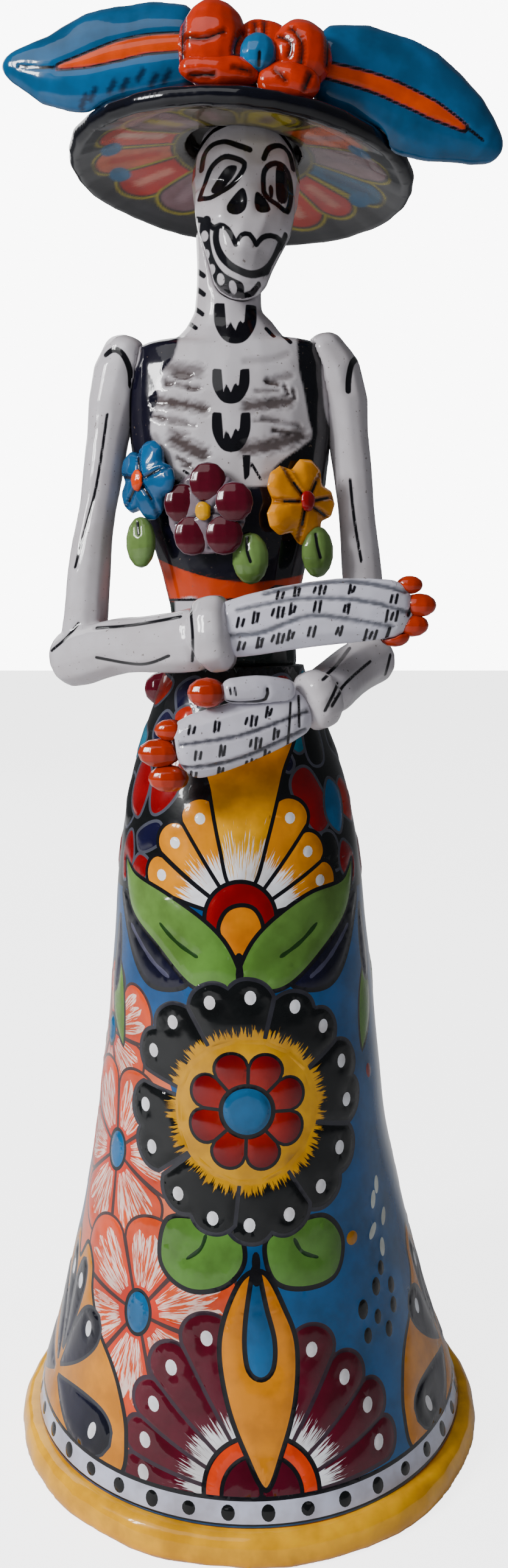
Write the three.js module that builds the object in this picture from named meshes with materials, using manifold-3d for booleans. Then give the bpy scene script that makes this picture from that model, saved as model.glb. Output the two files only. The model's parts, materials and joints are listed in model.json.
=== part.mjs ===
// Glazed ceramic catrina: a hollow bell skirt carries a rigid torso, two arms and a skull,
// and a separate hat lifts off the skull. Millimetres, +Z up. The figure faces -Y, and the
// origin is the middle of the foot's flat underside. "right" and "left" in the names are
// the figure's own sides, so right is -X.
import * as THREE from 'three';
import { mergeVertices } from 'three/addons/utils/BufferGeometryUtils.js';
import Module from 'manifold-3d';

const wasm = await Module();
wasm.setup();

// ---- driving dimensions ----

const FOOT_RADIUS = 87.2;
const FOOT_HEIGHT = 10.7;
const WAIST_HEIGHT = 290;
const SHOULDER_HEIGHT = 400;
const WALL = 6;
const LEAN = 0.0175;
const SKIRT_SWAY = 1.2;
const GAP = 0.3;

const HAT_CENTRE = [-2.5, -3, 453];
const HAT_TILT = THREE.MathUtils.degToRad(3.9);
const HAT_ROLL = THREE.MathUtils.degToRad(4.8);
const BRIM_RADIUS = 58.3;
const BRIM_THICKNESS = 6;
const BRIM_EDGE = 3;
const BRIM_RISE = 9.5;
const HEAD_OPENING = 19.5;
const CROWN_RADIUS = 26;
const HAT_SIDES = 32;
const CROWN_WALL = 4.5;
const CROWN_TOP = 25.4;

const SKULL_CENTRE = [-1, -5, 449.5];
const SKULL_SIZE = [18.4, 19.5, 23.6];

// Hollow core of the torso, open into the skirt.
const CORE_HALF_WIDTH = 12;
const CORE_HALF_DEPTH = 8;
const CORE_TOP = 372;

// The figure's own middle line drifts towards its right side as it rises.
const axisX = (z) => -LEAN * z;

// ---- colours of the glazes ----

const WHITE = 0xcdccd6;
const NAVY = 0x12122c;
const BLUE = 0x23699b;
const ORANGE = 0xd2501e;
const YELLOW = 0xe6a530;
const BURGUNDY = 0x5a1928;
const GREEN = 0x5f913c;
const RED = 0xa51923;

function glaze(color) {
  return new THREE.MeshStandardMaterial({ color, roughness: 0.15, metalness: 0 });
}

// ---- solids ----

// Keeps only the positions, shares the vertices, drops collapsed faces and turns the
// faces outward.
function closed(geometry) {
  geometry.deleteAttribute('normal');
  geometry.deleteAttribute('uv');
  const merged = mergeVertices(geometry, 1e-4);
  const index = merged.index.array;
  const position = merged.attributes.position;
  const corners = [new THREE.Vector3(), new THREE.Vector3(), new THREE.Vector3()];
  const kept = [];
  let volume = 0;
  for (let i = 0; i < index.length; i += 3) {
    const [a, b, c] = [index[i], index[i + 1], index[i + 2]];
    if (a === b || b === c || c === a) continue;
    kept.push(a, b, c);
    [a, b, c].forEach((vertex, n) => corners[n].fromBufferAttribute(position, vertex));
    volume += corners[0].dot(corners[1].cross(corners[2]));
  }
  if (volume < 0) kept.reverse();
  merged.setIndex(kept);
  return merged;
}

// Ring or cup turned about +Z from a profile of [radius, height] pairs.
function turned(profile, sides) {
  const points = profile.map(([radius, height]) => new THREE.Vector2(radius, height));
  return closed(new THREE.LatheGeometry(points, sides).rotateX(Math.PI / 2));
}

// Moves every vertex of a geometry through a function of its position.
function reshape(geometry, move) {
  const position = geometry.attributes.position;
  const point = new THREE.Vector3();
  for (let i = 0; i < position.count; i += 1) {
    move(point.fromBufferAttribute(position, i));
    position.setXYZ(i, point.x, point.y, point.z);
  }
  return geometry;
}

// Radius of a rod of length 1 at each step, with rounded or flat ends.
function rodProfile(steps, startCap, endCap) {
  const profile = [];
  const capSteps = 3;
  if (startCap === 0) profile.push([0, 0]);
  for (let i = 0; i < capSteps && startCap > 0; i += 1) {
    const angle = (Math.PI / 2) * (i / capSteps);
    profile.push([Math.sin(angle), startCap * (1 - Math.cos(angle))]);
  }
  for (let i = 0; i <= steps; i += 1) {
    profile.push([1, startCap + (1 - startCap - endCap) * (i / steps)]);
  }
  for (let i = capSteps - 1; i >= 0 && endCap > 0; i -= 1) {
    const angle = (Math.PI / 2) * (i / capSteps);
    profile.push([Math.sin(angle), 1 - endCap * (1 - Math.cos(angle))]);
  }
  if (endCap === 0) profile.push([0, 1]);
  return profile;
}

// Rod along stations of [x, y, z, half width, half depth]. Depth lies towards Y where the
// rod runs across it, and width is at right angles to that.
function limb(stations, options = {}) {
  const { sides = 10, steps = 6, startCap = 0.12, endCap = 0.12 } = options;
  const path = new THREE.CatmullRomCurve3(stations.map(([x, y, z]) => new THREE.Vector3(x, y, z)));
  const halves = stations.map(([, , , width, deep]) => new THREE.Vector3(width, deep, 0));
  const sizes = new THREE.CatmullRomCurve3(halves);
  const rod = turned(rodProfile(steps, startCap, endCap), sides);
  const towards = new THREE.Vector3(0, 1, 0);
  return reshape(rod, (point) => {
    const along = THREE.MathUtils.clamp(point.z, 0, 1);
    const tangent = path.getTangent(along);
    const deep = towards.clone().addScaledVector(tangent, -towards.dot(tangent)).normalize();
    const wide = new THREE.Vector3().crossVectors(deep, tangent);
    const size = sizes.getPoint(along);
    const [across, out] = [point.x * size.x, point.y * size.y];
    point.copy(path.getPoint(along)).addScaledVector(wide, across).addScaledVector(deep, out);
  });
}

function ellipsoid(halfX, halfY, halfZ, sides = 12) {
  const ball = new THREE.SphereGeometry(1, sides, Math.round(sides * 0.6)).rotateX(Math.PI / 2);
  return closed(ball.scale(halfX, halfY, halfZ));
}

// Cushion with a lobed outline in X and Z, domed towards -Y.
function lobed(lobes, radius, thickness, valley) {
  const cushion = new THREE.SphereGeometry(1, lobes * 4, 6);
  return reshape(closed(cushion), (point) => {
    const angle = Math.atan2(point.z, point.x);
    const lobe = Math.abs(Math.cos((lobes * angle) / 2)) ** 0.7;
    const reach = radius * (valley + (1 - valley) * lobe);
    point.set(point.x * reach, (point.y * thickness) / 2, point.z * reach);
  });
}

function manifold(geometry) {
  return new wasm.Manifold(new wasm.Mesh({
    numProp: 3,
    vertProperties: new Float32Array(geometry.attributes.position.array),
    triVerts: new Uint32Array(geometry.index.array),
  }));
}

// The largest body of a boolean's result, as a geometry.
function fromManifold(result) {
  const bodies = result.decompose().sort((a, b) => b.volume() - a.volume());
  const mesh = bodies[0].getMesh();
  const geometry = new THREE.BufferGeometry();
  const positions = new Float32Array(mesh.vertProperties);
  geometry.setAttribute('position', new THREE.BufferAttribute(positions, 3));
  geometry.setIndex([...mesh.triVerts]);
  return geometry;
}

function joined(first, second) {
  return fromManifold(manifold(first).add(manifold(second)));
}

function hollowed(outside, core) {
  return fromManifold(manifold(outside).subtract(manifold(core)));
}

// A copy that is larger by the gap on every side.
function grown(geometry, gap) {
  const larger = geometry.clone();
  larger.computeVertexNormals();
  const normal = larger.attributes.normal;
  const { position } = larger.attributes;
  for (let i = 0; i < position.count; i += 1) {
    position.setX(i, position.getX(i) + normal.getX(i) * gap);
    position.setY(i, position.getY(i) + normal.getY(i) * gap);
    position.setZ(i, position.getZ(i) + normal.getZ(i) * gap);
  }
  return larger;
}

// Cuts a placed mesh back from its placed neighbours and leaves the gap between them.
function fitTo(mesh, ...neighbours) {
  mesh.updateWorldMatrix(true, false);
  const toMesh = mesh.matrixWorld.clone().invert();
  let body = manifold(mesh.geometry);
  for (const neighbour of neighbours) {
    neighbour.updateWorldMatrix(true, false);
    const tool = grown(neighbour.geometry, GAP);
    tool.applyMatrix4(toMesh.clone().multiply(neighbour.matrixWorld));
    body = body.subtract(manifold(tool));
  }
  mesh.geometry = fromManifold(body);
}

const figure = new THREE.Group();
const hat = new THREE.Group();
hat.position.set(...HAT_CENTRE);
hat.rotation.set(-HAT_TILT, HAT_ROLL, 0);
figure.add(hat);

// Adds a named piece, turned about +Z and moved to its place in its parent.
function add(parent, name, geometry, color, at = [0, 0, 0], turn = 0) {
  const mesh = new THREE.Mesh(geometry, glaze(color));
  mesh.name = name;
  mesh.position.set(...at);
  mesh.rotation.z = turn;
  parent.add(mesh);
  return mesh;
}

// ---- skirt ----

// Rolled foot: flat underneath, rounded outside, flat on top where the bell stands.
function footRing() {
  const inner = FOOT_RADIUS - 12.5;
  const bottomEdge = 1;
  const topEdge = 4;
  const steps = 5;
  const profile = [[inner, 0], [FOOT_RADIUS - bottomEdge, 0]];
  for (let i = 0; i <= steps; i += 1) {
    const angle = (Math.PI / 2) * (i / steps);
    const height = bottomEdge + (FOOT_HEIGHT - bottomEdge) * Math.sin(angle);
    profile.push([FOOT_RADIUS - topEdge * (1 - Math.cos(angle)), height]);
  }
  profile.push([inner, FOOT_HEIGHT], [inner, 0]);
  return turned(profile, 40);
}

// Outside radius of the bell against height.
const BELL = new THREE.SplineCurve([
  [81.8, FOOT_HEIGHT + GAP],
  [78, 22],
  [71.7, 40],
  [64.3, 70],
  [55.6, 110],
  [50.5, 150],
  [46.7, 190],
  [42.6, 230],
  [35.6, 261],
  [27.4, 278],
  [23.2, WAIST_HEIGHT - GAP],
].map(([radius, height]) => new THREE.Vector2(radius, height)));

// Depth of the skirt against its width: round below, flatter from the hips to the waist.
function flattening(z) {
  const rise = THREE.MathUtils.smoothstep(z, 170, WAIST_HEIGHT);
  return 1 - 0.2 * rise;
}

// Sideways drift of the hand-thrown wall, most at the start of the flare.
function sway(z) {
  const rise = THREE.MathUtils.clamp((z - FOOT_HEIGHT) / (WAIST_HEIGHT / 2), 0, 1);
  return SKIRT_SWAY * Math.sin(Math.PI * rise);
}

function bell() {
  const outside = BELL.getSpacedPoints(13).map(({ x, y }) => [x, y]);
  const topHole = 11;
  const inside = outside
    .filter((point, i) => i % 2 === 0 && point[1] < WAIST_HEIGHT - 3 * WALL)
    .map(([radius, height]) => [radius - WALL * 1.05, height])
    .reverse();
  const crown = [[topHole, WAIST_HEIGHT - GAP], [topHole, WAIST_HEIGHT - WALL - 3]];
  const profile = [...outside, ...crown, ...inside, outside[0]];
  return reshape(turned(profile, 40), (point) => {
    point.y *= flattening(point.z);
    point.x += axisX(point.z - FOOT_HEIGHT) - sway(point.z);
  });
}

const foot = add(figure, 'skirt_foot', footRing(), YELLOW);
const skirt = add(figure, 'skirt_shell', bell(), BLUE);

// ---- torso, neck and skull ----

function torsoBody() {
  const sections = [
    [WAIST_HEIGHT + GAP + 0.1, 22.5, 17],
    [300, 22, 17],
    [314, 23.5, 17.8],
    [330, 28.5, 19.5],
    [348, 33, 20.8],
    [368, 35.5, 20.6],
    [384, 36.2, 19],
    [394, 35, 17],
    [SHOULDER_HEIGHT + 1, 32, 13],
  ];
  const body = limb(sections.map(([z, width, deep]) => [axisX(z), 0, z, width, deep]), {
    sides: 20,
    steps: 9,
    startCap: 0,
    endCap: 0.07,
  });
  const core = limb([
    [axisX(WAIST_HEIGHT), 0, WAIST_HEIGHT - 5, CORE_HALF_WIDTH - 2, CORE_HALF_DEPTH],
    [axisX(330), 0, 330, CORE_HALF_WIDTH, CORE_HALF_DEPTH],
    [axisX(CORE_TOP), 0, CORE_TOP, CORE_HALF_WIDTH, CORE_HALF_DEPTH],
  ]);
  return hollowed(body, core);
}

function skullBody() {
  const [x, y, z] = SKULL_CENTRE;
  const cranium = ellipsoid(...SKULL_SIZE, 16).translate(x, y, z);
  const faceAndJaw = limb([
    [x, y - 5, z - 2, 17, 13],
    [x - 0.5, y - 7, z - 14, 17, 13],
    [x - 1.5, y - 8, z - 27, 11.5, 12],
    [x - 2.2, y - 9, z - 39, 7.5, 8.5],
  ], { sides: 14, steps: 5, endCap: 0.14 });
  return joined(cranium, faceAndJaw);
}

const torso = add(figure, 'torso', torsoBody(), NAVY);
const skull = add(figure, 'skull', skullBody(), WHITE);
const neck = add(figure, 'neck', limb([
  [-6.6, -1, SHOULDER_HEIGHT - 4, 22, 15],
  [-6.8, -1, SHOULDER_HEIGHT + 2.5, 17, 12.5],
  [-7.2, -1.5, SHOULDER_HEIGHT + 9, 11.6, 11],
  [-6.8, -2, SHOULDER_HEIGHT + 18, 11.2, 11],
  [-6, -2.5, SHOULDER_HEIGHT + 34, 12, 12],
], { sides: 16, steps: 6, startCap: 0, endCap: 0 }), WHITE);
fitTo(neck, torso, skull);

// ---- arms ----

const rightForearm = add(figure, 'right_forearm', limb([
  [-68, -4, 289, 8, 7.5],
  [-58, -10, 291.5, 10, 9],
  [-43, -20, 295.2, 9, 8.5],
  [-22, -35, 296.8, 9.8, 8.6],
  [-13, -40, 298.6, 10.6, 9.6],
]), WHITE);
const rightUpperArm = add(figure, 'right_upper_arm', limb([
  [-40, 0, SHOULDER_HEIGHT + 0.5, 7, 8],
  [-45.5, 0, 386, 9, 9],
  [-49.3, -1, 366, 6.8, 7.4],
  [-52.5, -3, 346, 6, 6.6],
  [-56, -5, 322, 6.8, 7],
  [-58.5, -7, 292, 8, 8.4],
], { steps: 8, startCap: 0.06, endCap: 0.05 }), WHITE);
const rightCuff = add(figure, 'right_wrist_cuff', limb([
  [-16, -39, 298.6, 11, 10],
  [-10.5, -42, 299.8, 12.4, 11.4],
  [-5, -43.6, 300.6, 11.2, 10.2],
], { steps: 3, startCap: 0.25, endCap: 0.25 }), WHITE);
const rightHand = add(figure, 'right_hand', limb([
  [-8, -43, 300.6, 9.4, 6.4],
  [2, -45.5, 302.8, 10.4, 6],
  [16, -47.5, 305.4, 10.8, 5.4],
  [29, -48, 307, 10.9, 5],
  [42, -47, 307.6, 10.2, 4.8],
  [53, -45.5, 308.2, 8.6, 4.2],
], { startCap: 0.05 }), WHITE);

const leftForearm = add(figure, 'left_forearm', limb([
  [47.6, -4, 291.4, 7.6, 7.4],
  [42, -9, 289.6, 8.6, 8.2],
  [32, -23, 284.6, 8.2, 8],
  [23.6, -37, 279, 8.6, 8.2],
]), WHITE);
const leftUpperArm = add(figure, 'left_upper_arm', limb([
  [22, 0, SHOULDER_HEIGHT + 0.5, 7, 8],
  [31, 0, 387, 8.6, 9],
  [34.6, -1, 366, 6.6, 7.2],
  [37.2, -3, 346, 5.9, 6.5],
  [39.6, -5, 322, 6.2, 6.8],
  [41.6, -7, 292, 7.4, 7.8],
], { steps: 8, startCap: 0.06, endCap: 0.05 }), WHITE);
const leftCuff = add(figure, 'left_wrist_cuff', limb([
  [26, -36, 279.6, 8.8, 8.2],
  [22.2, -39.6, 278, 9.8, 9],
  [18, -42.4, 276.4, 8.6, 7.8],
], { steps: 3, startCap: 0.25, endCap: 0.25 }), WHITE);
const leftHand = add(figure, 'left_hand', limb([
  [20, -41.5, 276.8, 7.6, 6.2],
  [10, -44.5, 272.6, 9.5, 6],
  [-3, -46.4, 268, 10.8, 5.5],
  [-15, -46.4, 264, 11.2, 5],
  [-24, -45, 260.6, 9.4, 4.6],
]), WHITE);
const leftThumb = add(figure, 'left_thumb', limb([
  [15, -44.5, 280.4, 4.6, 4.4],
  [4, -48.5, 282, 4.9, 4.5],
  [-9, -50, 281.6, 4, 3.8],
], { steps: 5 }), WHITE);

fitTo(rightUpperArm, torso, rightForearm);
fitTo(rightCuff, rightForearm);
fitTo(rightHand, rightCuff);
fitTo(leftUpperArm, torso, leftForearm);
fitTo(leftCuff, leftForearm);
fitTo(leftHand, leftCuff);
fitTo(leftThumb, leftHand, leftCuff);

// Glazed fingertips of one hand: each sits against the hand and the tip before it.
function addFingertips(side, hand, tips) {
  const placed = [];
  tips.forEach(([x, y, z, radius], i) => {
    const tip = ellipsoid(radius * 1.15, radius, radius, 10);
    const mesh = add(figure, `${side}_fingertip_${i + 1}`, tip, ORANGE, [x, y, z]);
    fitTo(mesh, hand, ...placed.slice(-1));
    placed.push(mesh);
  });
}

addFingertips('right', rightHand, [
  [52, -45.4, 315.4, 2.8],
  [55.4, -45.2, 309, 3.6],
  [53.2, -45.2, 302.6, 3.5],
  [47.6, -45.4, 299, 3.2],
]);
addFingertips('left', leftHand, [
  [-26.2, -45.6, 268.6, 3.4],
  [-30, -45, 261, 4.5],
  [-27, -45, 252.6, 4.3],
]);
const thumbNail = ellipsoid(4.7, 4.4, 4.6, 10);
const thumbTip = add(figure, 'left_thumb_tip', thumbNail, ORANGE, [-14, -50.4, 281]);
fitTo(thumbTip, leftThumb);

// ---- flowers and leaves on the bodice ----

const UP = new THREE.Vector3(0, 0, 1);
const BLUE_TURN = THREE.MathUtils.degToRad(-46);
const BURGUNDY_TURN = THREE.MathUtils.degToRad(-16);
const YELLOW_TURN = THREE.MathUtils.degToRad(38);

// Pressed flower with a bead in its middle.
function addFlower(name, color, beadColor, { at, turn, radius, lobes }) {
  const thickness = 8;
  const valley = 0.72;
  const outline = lobed(lobes, radius, thickness, valley);
  const petals = add(figure, `${name}_flower`, outline, color, at, turn);
  const front = new THREE.Vector3(0, -thickness / 2, 0).applyAxisAngle(UP, turn);
  const beadAt = [at[0] + front.x, at[1] + front.y, at[2]];
  const middle = ellipsoid(3.2, 2, 3.6, 10);
  const bead = add(figure, `${name}_flower_bead`, middle, beadColor, beadAt, turn);
  fitTo(petals, torso);
  fitTo(bead, petals);
  return petals;
}

// Flower of round petals pressed one by one on a pale disc.
function addRoundPetalFlower({ at, turn, neighbours }) {
  const petalCount = 5;
  const ringRadius = 9.6;
  const petalStand = 2.4;
  const beadStand = 3.6;
  const group = new THREE.Group();
  group.position.set(...at);
  group.rotation.z = turn;
  figure.add(group);
  const disc = add(group, 'burgundy_flower_disc', ellipsoid(14.2, 3.4, 14.2, 16), WHITE);
  fitTo(disc, torso);
  for (let i = 0; i < petalCount; i += 1) {
    const angle = Math.PI / 2 + (2 * Math.PI * i) / petalCount;
    const centre = [ringRadius * Math.cos(angle), -petalStand, ringRadius * Math.sin(angle)];
    const dome = ellipsoid(5.3, 4, 5.3, 10);
    const petal = add(group, `burgundy_petal_${i + 1}`, dome, BURGUNDY, centre);
    fitTo(petal, disc, torso, ...neighbours);
  }
  const middle = ellipsoid(3.2, 2.4, 3.2, 10);
  const bead = add(group, 'burgundy_flower_bead', middle, YELLOW, [0, -beadStand, 0]);
  fitTo(bead, disc);
  return disc;
}

const blueFlower = addFlower('blue', BLUE, ORANGE, {
  at: [-34.8, -14, 351],
  turn: BLUE_TURN,
  radius: 13.4,
  lobes: 5,
});
const yellowFlower = addFlower('yellow', YELLOW, RED, {
  at: [17.2, -18.6, 343.6],
  turn: YELLOW_TURN,
  radius: 14.6,
  lobes: 5,
});
const burgundyFlower = addRoundPetalFlower({
  at: [-14.2, -21.4, 340],
  turn: BURGUNDY_TURN,
  neighbours: [blueFlower],
});

const LEAF_SIZE = [5.3, 3.6, 8.5];

function addLeaf(side, at, turn, flower) {
  const leaf = add(figure, `${side}_leaf`, ellipsoid(...LEAF_SIZE), GREEN, at, turn);
  fitTo(leaf, torso, flower);
}

addLeaf('right', [-37, -15, 330.4], BLUE_TURN, blueFlower);
addLeaf('middle', [0.6, -22.4, 324.6], 0, burgundyFlower);
addLeaf('left', [23.4, -17.4, 327], YELLOW_TURN, yellowFlower);

// ---- bow at the back of the waist ----

const BACK_BOW = { y: 23, z: 278, halfSpan: 17, halfHeight: 7, pinched: 3.6 };
const backKnotAt = [axisX(BACK_BOW.z), BACK_BOW.y, BACK_BOW.z];
const backKnot = add(figure, 'back_bow_knot', ellipsoid(5, 5, 5.5), BURGUNDY, backKnotAt);
fitTo(backKnot, torso, skirt);

// Loop of the back bow: pinched at the knot and full at its outer end.
function addBackLoop(side, sign) {
  const { y, z, halfSpan, halfHeight, pinched } = BACK_BOW;
  const near = axisX(z) + sign;
  const loop = limb([
    [near, y, z, pinched, 4.5],
    [near + sign * halfSpan, y + 1, z, halfHeight * 0.9, 6.5],
    [near + 2 * sign * halfSpan, y, z, halfHeight, 4.5],
  ], { steps: 4, startCap: 0.2, endCap: 0.2 });
  fitTo(add(figure, `back_bow_loop_${side}`, loop, BURGUNDY), torso, skirt, backKnot);
}

addBackLoop('right', -1);
addBackLoop('left', 1);

// ---- hat ----

// Height of the brim's top above the rim's middle at a radius.
function brimTop(radius) {
  const flat = BRIM_RADIUS - BRIM_EDGE;
  const inward = (flat - radius) / (flat - HEAD_OPENING);
  return BRIM_THICKNESS / 2 + BRIM_RISE * Math.max(inward, 0) ** 0.8;
}

// Shallow upside-down dish with a rolled edge and a hole over the head.
function brim() {
  const flat = BRIM_RADIUS - BRIM_EDGE;
  const radii = [HEAD_OPENING, CROWN_RADIUS, 33, 44, flat];
  const top = radii.map((radius) => [radius, brimTop(radius)]);
  const under = radii.map((radius) => [radius, brimTop(radius) - BRIM_THICKNESS + 1]).reverse();
  const edge = [-60, -20, 20, 60].map((degrees) => {
    const angle = THREE.MathUtils.degToRad(-degrees);
    return [flat + BRIM_EDGE * Math.cos(angle), (BRIM_THICKNESS / 2) * Math.sin(angle)];
  });
  under[0] = [flat, -BRIM_THICKNESS / 2];
  return turned([...top, ...edge, ...under, top[0]], HAT_SIDES);
}

// Dome over the head, open underneath.
function crown() {
  const steps = 5;
  const slope = (brimTop(HEAD_OPENING) - brimTop(CROWN_RADIUS)) / (CROWN_RADIUS - HEAD_OPENING);
  const dome = (radius, height) => Array.from({ length: steps + 1 }, (_, i) => {
    const angle = (Math.PI / 2) * (i / steps);
    const base = brimTop(CROWN_RADIUS) + (CROWN_RADIUS - radius) * slope + GAP;
    return [radius * Math.cos(angle) ** 0.7, base + (height - base) * Math.sin(angle)];
  });
  const outside = dome(CROWN_RADIUS, CROWN_TOP);
  const inside = dome(CROWN_RADIUS - CROWN_WALL, CROWN_TOP - CROWN_WALL).reverse();
  outside[steps][0] = 0;
  inside[0][0] = 0;
  return turned([...outside, ...inside, outside[0]], HAT_SIDES);
}

// Thick plume standing on the brim, from stations of [outward, height, half height, half
// thickness]. It sweeps back in an arc as it leaves the bow.
function plume(stations, sign) {
  const root = stations[0][0];
  const tip = stations[stations.length - 1][0];
  const front = -38;
  const sweep = 10;
  const rise = 3;
  return limb(stations.map(([outward, height, half, thick]) => {
    const far = (outward - root) / (tip - root);
    return [sign * outward, front + sweep * far ** 1.5, height + rise * far, half, thick];
  }), { sides: 14, steps: 7, startCap: 0.06, endCap: 0.1 });
}

const hatBrim = add(hat, 'hat_brim', brim(), NAVY);
const hatCrown = add(hat, 'hat_crown', crown(), BLUE);
const rightPlume = add(hat, 'right_plume', plume([
  [13, 20.7, 12.4, 6.5],
  [30, 18.2, 15.2, 6.5],
  [46, 14.5, 14.8, 6.2],
  [59, 11.6, 12, 5.6],
  [69, 12, 6.4, 4.6],
  [76.5, 12.4, 2.6, 3],
], -1), BLUE);
const leftPlume = add(hat, 'left_plume', plume([
  [20, 18.4, 11.4, 6.5],
  [37, 17.4, 14.6, 6.5],
  [53, 11, 16.6, 6.2],
  [67, 6, 13, 5.6],
  [77, 1.6, 7.4, 4.6],
  [82.5, 0.2, 2.8, 3],
], 1), BLUE);
fitTo(rightPlume, hatBrim, hatCrown);
fitTo(leftPlume, hatBrim, hatCrown);

// Pillow of the hat's bow, from its three half sizes (and sides round) and its place on the hat.
function bowPiece(name, halfSizes, color, at) {
  return add(hat, `bow_${name}`, ellipsoid(...halfSizes), color, at);
}

const bowRight = bowPiece('loop_right', [9.6, 7, 11.8, 14], ORANGE, [-9.6, -47, 17.6]);
const bowLeft = bowPiece('loop_left', [8.6, 6.6, 8.8, 14], ORANGE, [16.8, -46.6, 17.2]);
const bowPleat = bowPiece('pleat', [8.6, 5, 4.6], ORANGE, [5.6, -44.6, 21.6]);
const tailRight = bowPiece('tail_right', [11.5, 3.6, 3.6], ORANGE, [-7, -50, 9.2]);
const tailLeft = bowPiece('tail_left', [7.6, 3.8, 4], ORANGE, [14, -49.6, 8]);
const button = bowPiece('button', [5.7, 4, 5.7, 12], BLUE, [4.2, -51, 14.8]);
fitTo(bowRight, hatBrim, rightPlume, leftPlume);
fitTo(bowLeft, hatBrim, leftPlume);
fitTo(bowPleat, hatBrim, bowRight, bowLeft, rightPlume, leftPlume);
fitTo(tailRight, hatBrim, bowRight, bowPleat);
fitTo(tailLeft, hatBrim, bowLeft, tailRight, bowPleat);
fitTo(button, bowRight, bowLeft, bowPleat, tailRight, tailLeft);

export default figure;
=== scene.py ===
"""Looks for a hand-painted, glazed ceramic catrina: bell skirt, folded arms, painted skull
and plumed hat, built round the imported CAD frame. Lengths in this file are millimetres in the
row frame, and they become metres only where a mesh is made.

The figure faces -Y, so its own right is at -X. An angle round it is in degrees from the front,
positive towards +X. What is drawn on a form is measured from the middle of its CAD nodes."""

import json
import math

import bmesh
import bpy
import numpy as np
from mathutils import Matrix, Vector, geometry
from mathutils.bvhtree import BVHTree
from mathutils.kdtree import KDTree


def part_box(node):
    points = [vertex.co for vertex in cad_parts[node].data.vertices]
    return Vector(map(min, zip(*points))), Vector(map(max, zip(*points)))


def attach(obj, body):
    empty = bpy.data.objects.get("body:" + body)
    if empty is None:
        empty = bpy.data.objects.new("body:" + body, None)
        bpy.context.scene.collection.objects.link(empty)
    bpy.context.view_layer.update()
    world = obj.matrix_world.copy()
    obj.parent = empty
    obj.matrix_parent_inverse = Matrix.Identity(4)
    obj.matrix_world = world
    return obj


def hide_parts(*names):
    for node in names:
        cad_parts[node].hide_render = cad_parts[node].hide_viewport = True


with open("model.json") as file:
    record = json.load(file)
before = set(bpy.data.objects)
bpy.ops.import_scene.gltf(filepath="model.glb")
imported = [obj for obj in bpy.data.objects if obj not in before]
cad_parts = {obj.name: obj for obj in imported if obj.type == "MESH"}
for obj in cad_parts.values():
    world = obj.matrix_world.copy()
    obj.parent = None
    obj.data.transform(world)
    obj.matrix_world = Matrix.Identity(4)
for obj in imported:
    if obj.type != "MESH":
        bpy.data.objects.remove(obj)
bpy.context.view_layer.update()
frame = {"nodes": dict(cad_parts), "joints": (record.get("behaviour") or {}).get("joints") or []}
MM = 0.001

# ---- glaze colours, sRGB 0 to 255 ----

INK = (17, 17, 21)
WHITE = (198, 194, 198)
BRIGHT_WHITE = (236, 236, 240)
RED = (122, 14, 26)
RUST = (160, 46, 24)
NAVY = (15, 14, 44)
BLACK = (14, 16, 17)
GREEN = (92, 128, 68)
PALE_GREEN = (100, 126, 76)
VEIN = (36, 60, 30)
TEAL = (46, 108, 132)
CLAY = (188, 132, 94)
FINGERTIP = (160, 54, 26)
PINHOLE = (90, 80, 72)

DEPTH = 1.22  # glaze is a little deeper in colour than a photo of it


def linear(color):
    """sRGB 0 to 255 to the linear values that shaders and attributes use."""
    c = np.asarray(color, float) / 255
    c = np.where(c <= 0.04045, c / 12.92, ((c + 0.055) / 1.055) ** 2.4)
    grey = c @ (0.2126, 0.7152, 0.0722)
    return np.clip(grey + (c - grey) * DEPTH, 0, 1)


# ---- outlines in a plane, as arrays of points ----


def bend(a, b, c, d, t):
    """A point of the Catmull-Rom curve between b and c."""
    return 0.5 * (2 * b + (c - a) * t + (2 * a - 5 * b + 4 * c - d) * t**2 + (3 * b - a - 3 * c + d) * t**3)


def curve(points, closed=False, step=1.2):
    """A smooth line through the points, with a point about every step."""
    p = np.asarray(points, float)
    count = len(p)
    line = []
    for i in range(count if closed else count - 1):
        if closed:
            near = [p[(i + k) % count] for k in (-1, 0, 1, 2)]
        else:
            near = [p[min(max(i + k, 0), count - 1)] for k in (-1, 0, 1, 2)]
        pieces = max(1, round(float(np.linalg.norm(near[2] - near[1])) / step))
        line.extend(bend(*near, t) for t in np.arange(pieces) / pieces)
    if not closed:
        line.append(p[-1])
    return np.array(line)


def blob(*points):
    """A smooth closed outline through the points."""
    return curve(points, closed=True)


def oval(centre, half_width, half_height, turn=0.0):
    """An ellipse with its own tilt in degrees."""
    count = max(10, round(2 * math.pi * max(half_width, half_height) / 1.1))
    t = np.arange(count) / count * 2 * math.pi
    x, y = half_width * np.cos(t), half_height * np.sin(t)
    c, s = math.cos(math.radians(turn)), math.sin(math.radians(turn))
    return np.stack([centre[0] + x * c - y * s, centre[1] + x * s + y * c], 1)


def polar(direction, distance, centre=(0.0, 0.0)):
    """The place at a distance from a centre. Directions are in degrees from the right."""
    a = math.radians(direction)
    return centre[0] + distance * math.cos(a), centre[1] + distance * math.sin(a)


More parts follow.
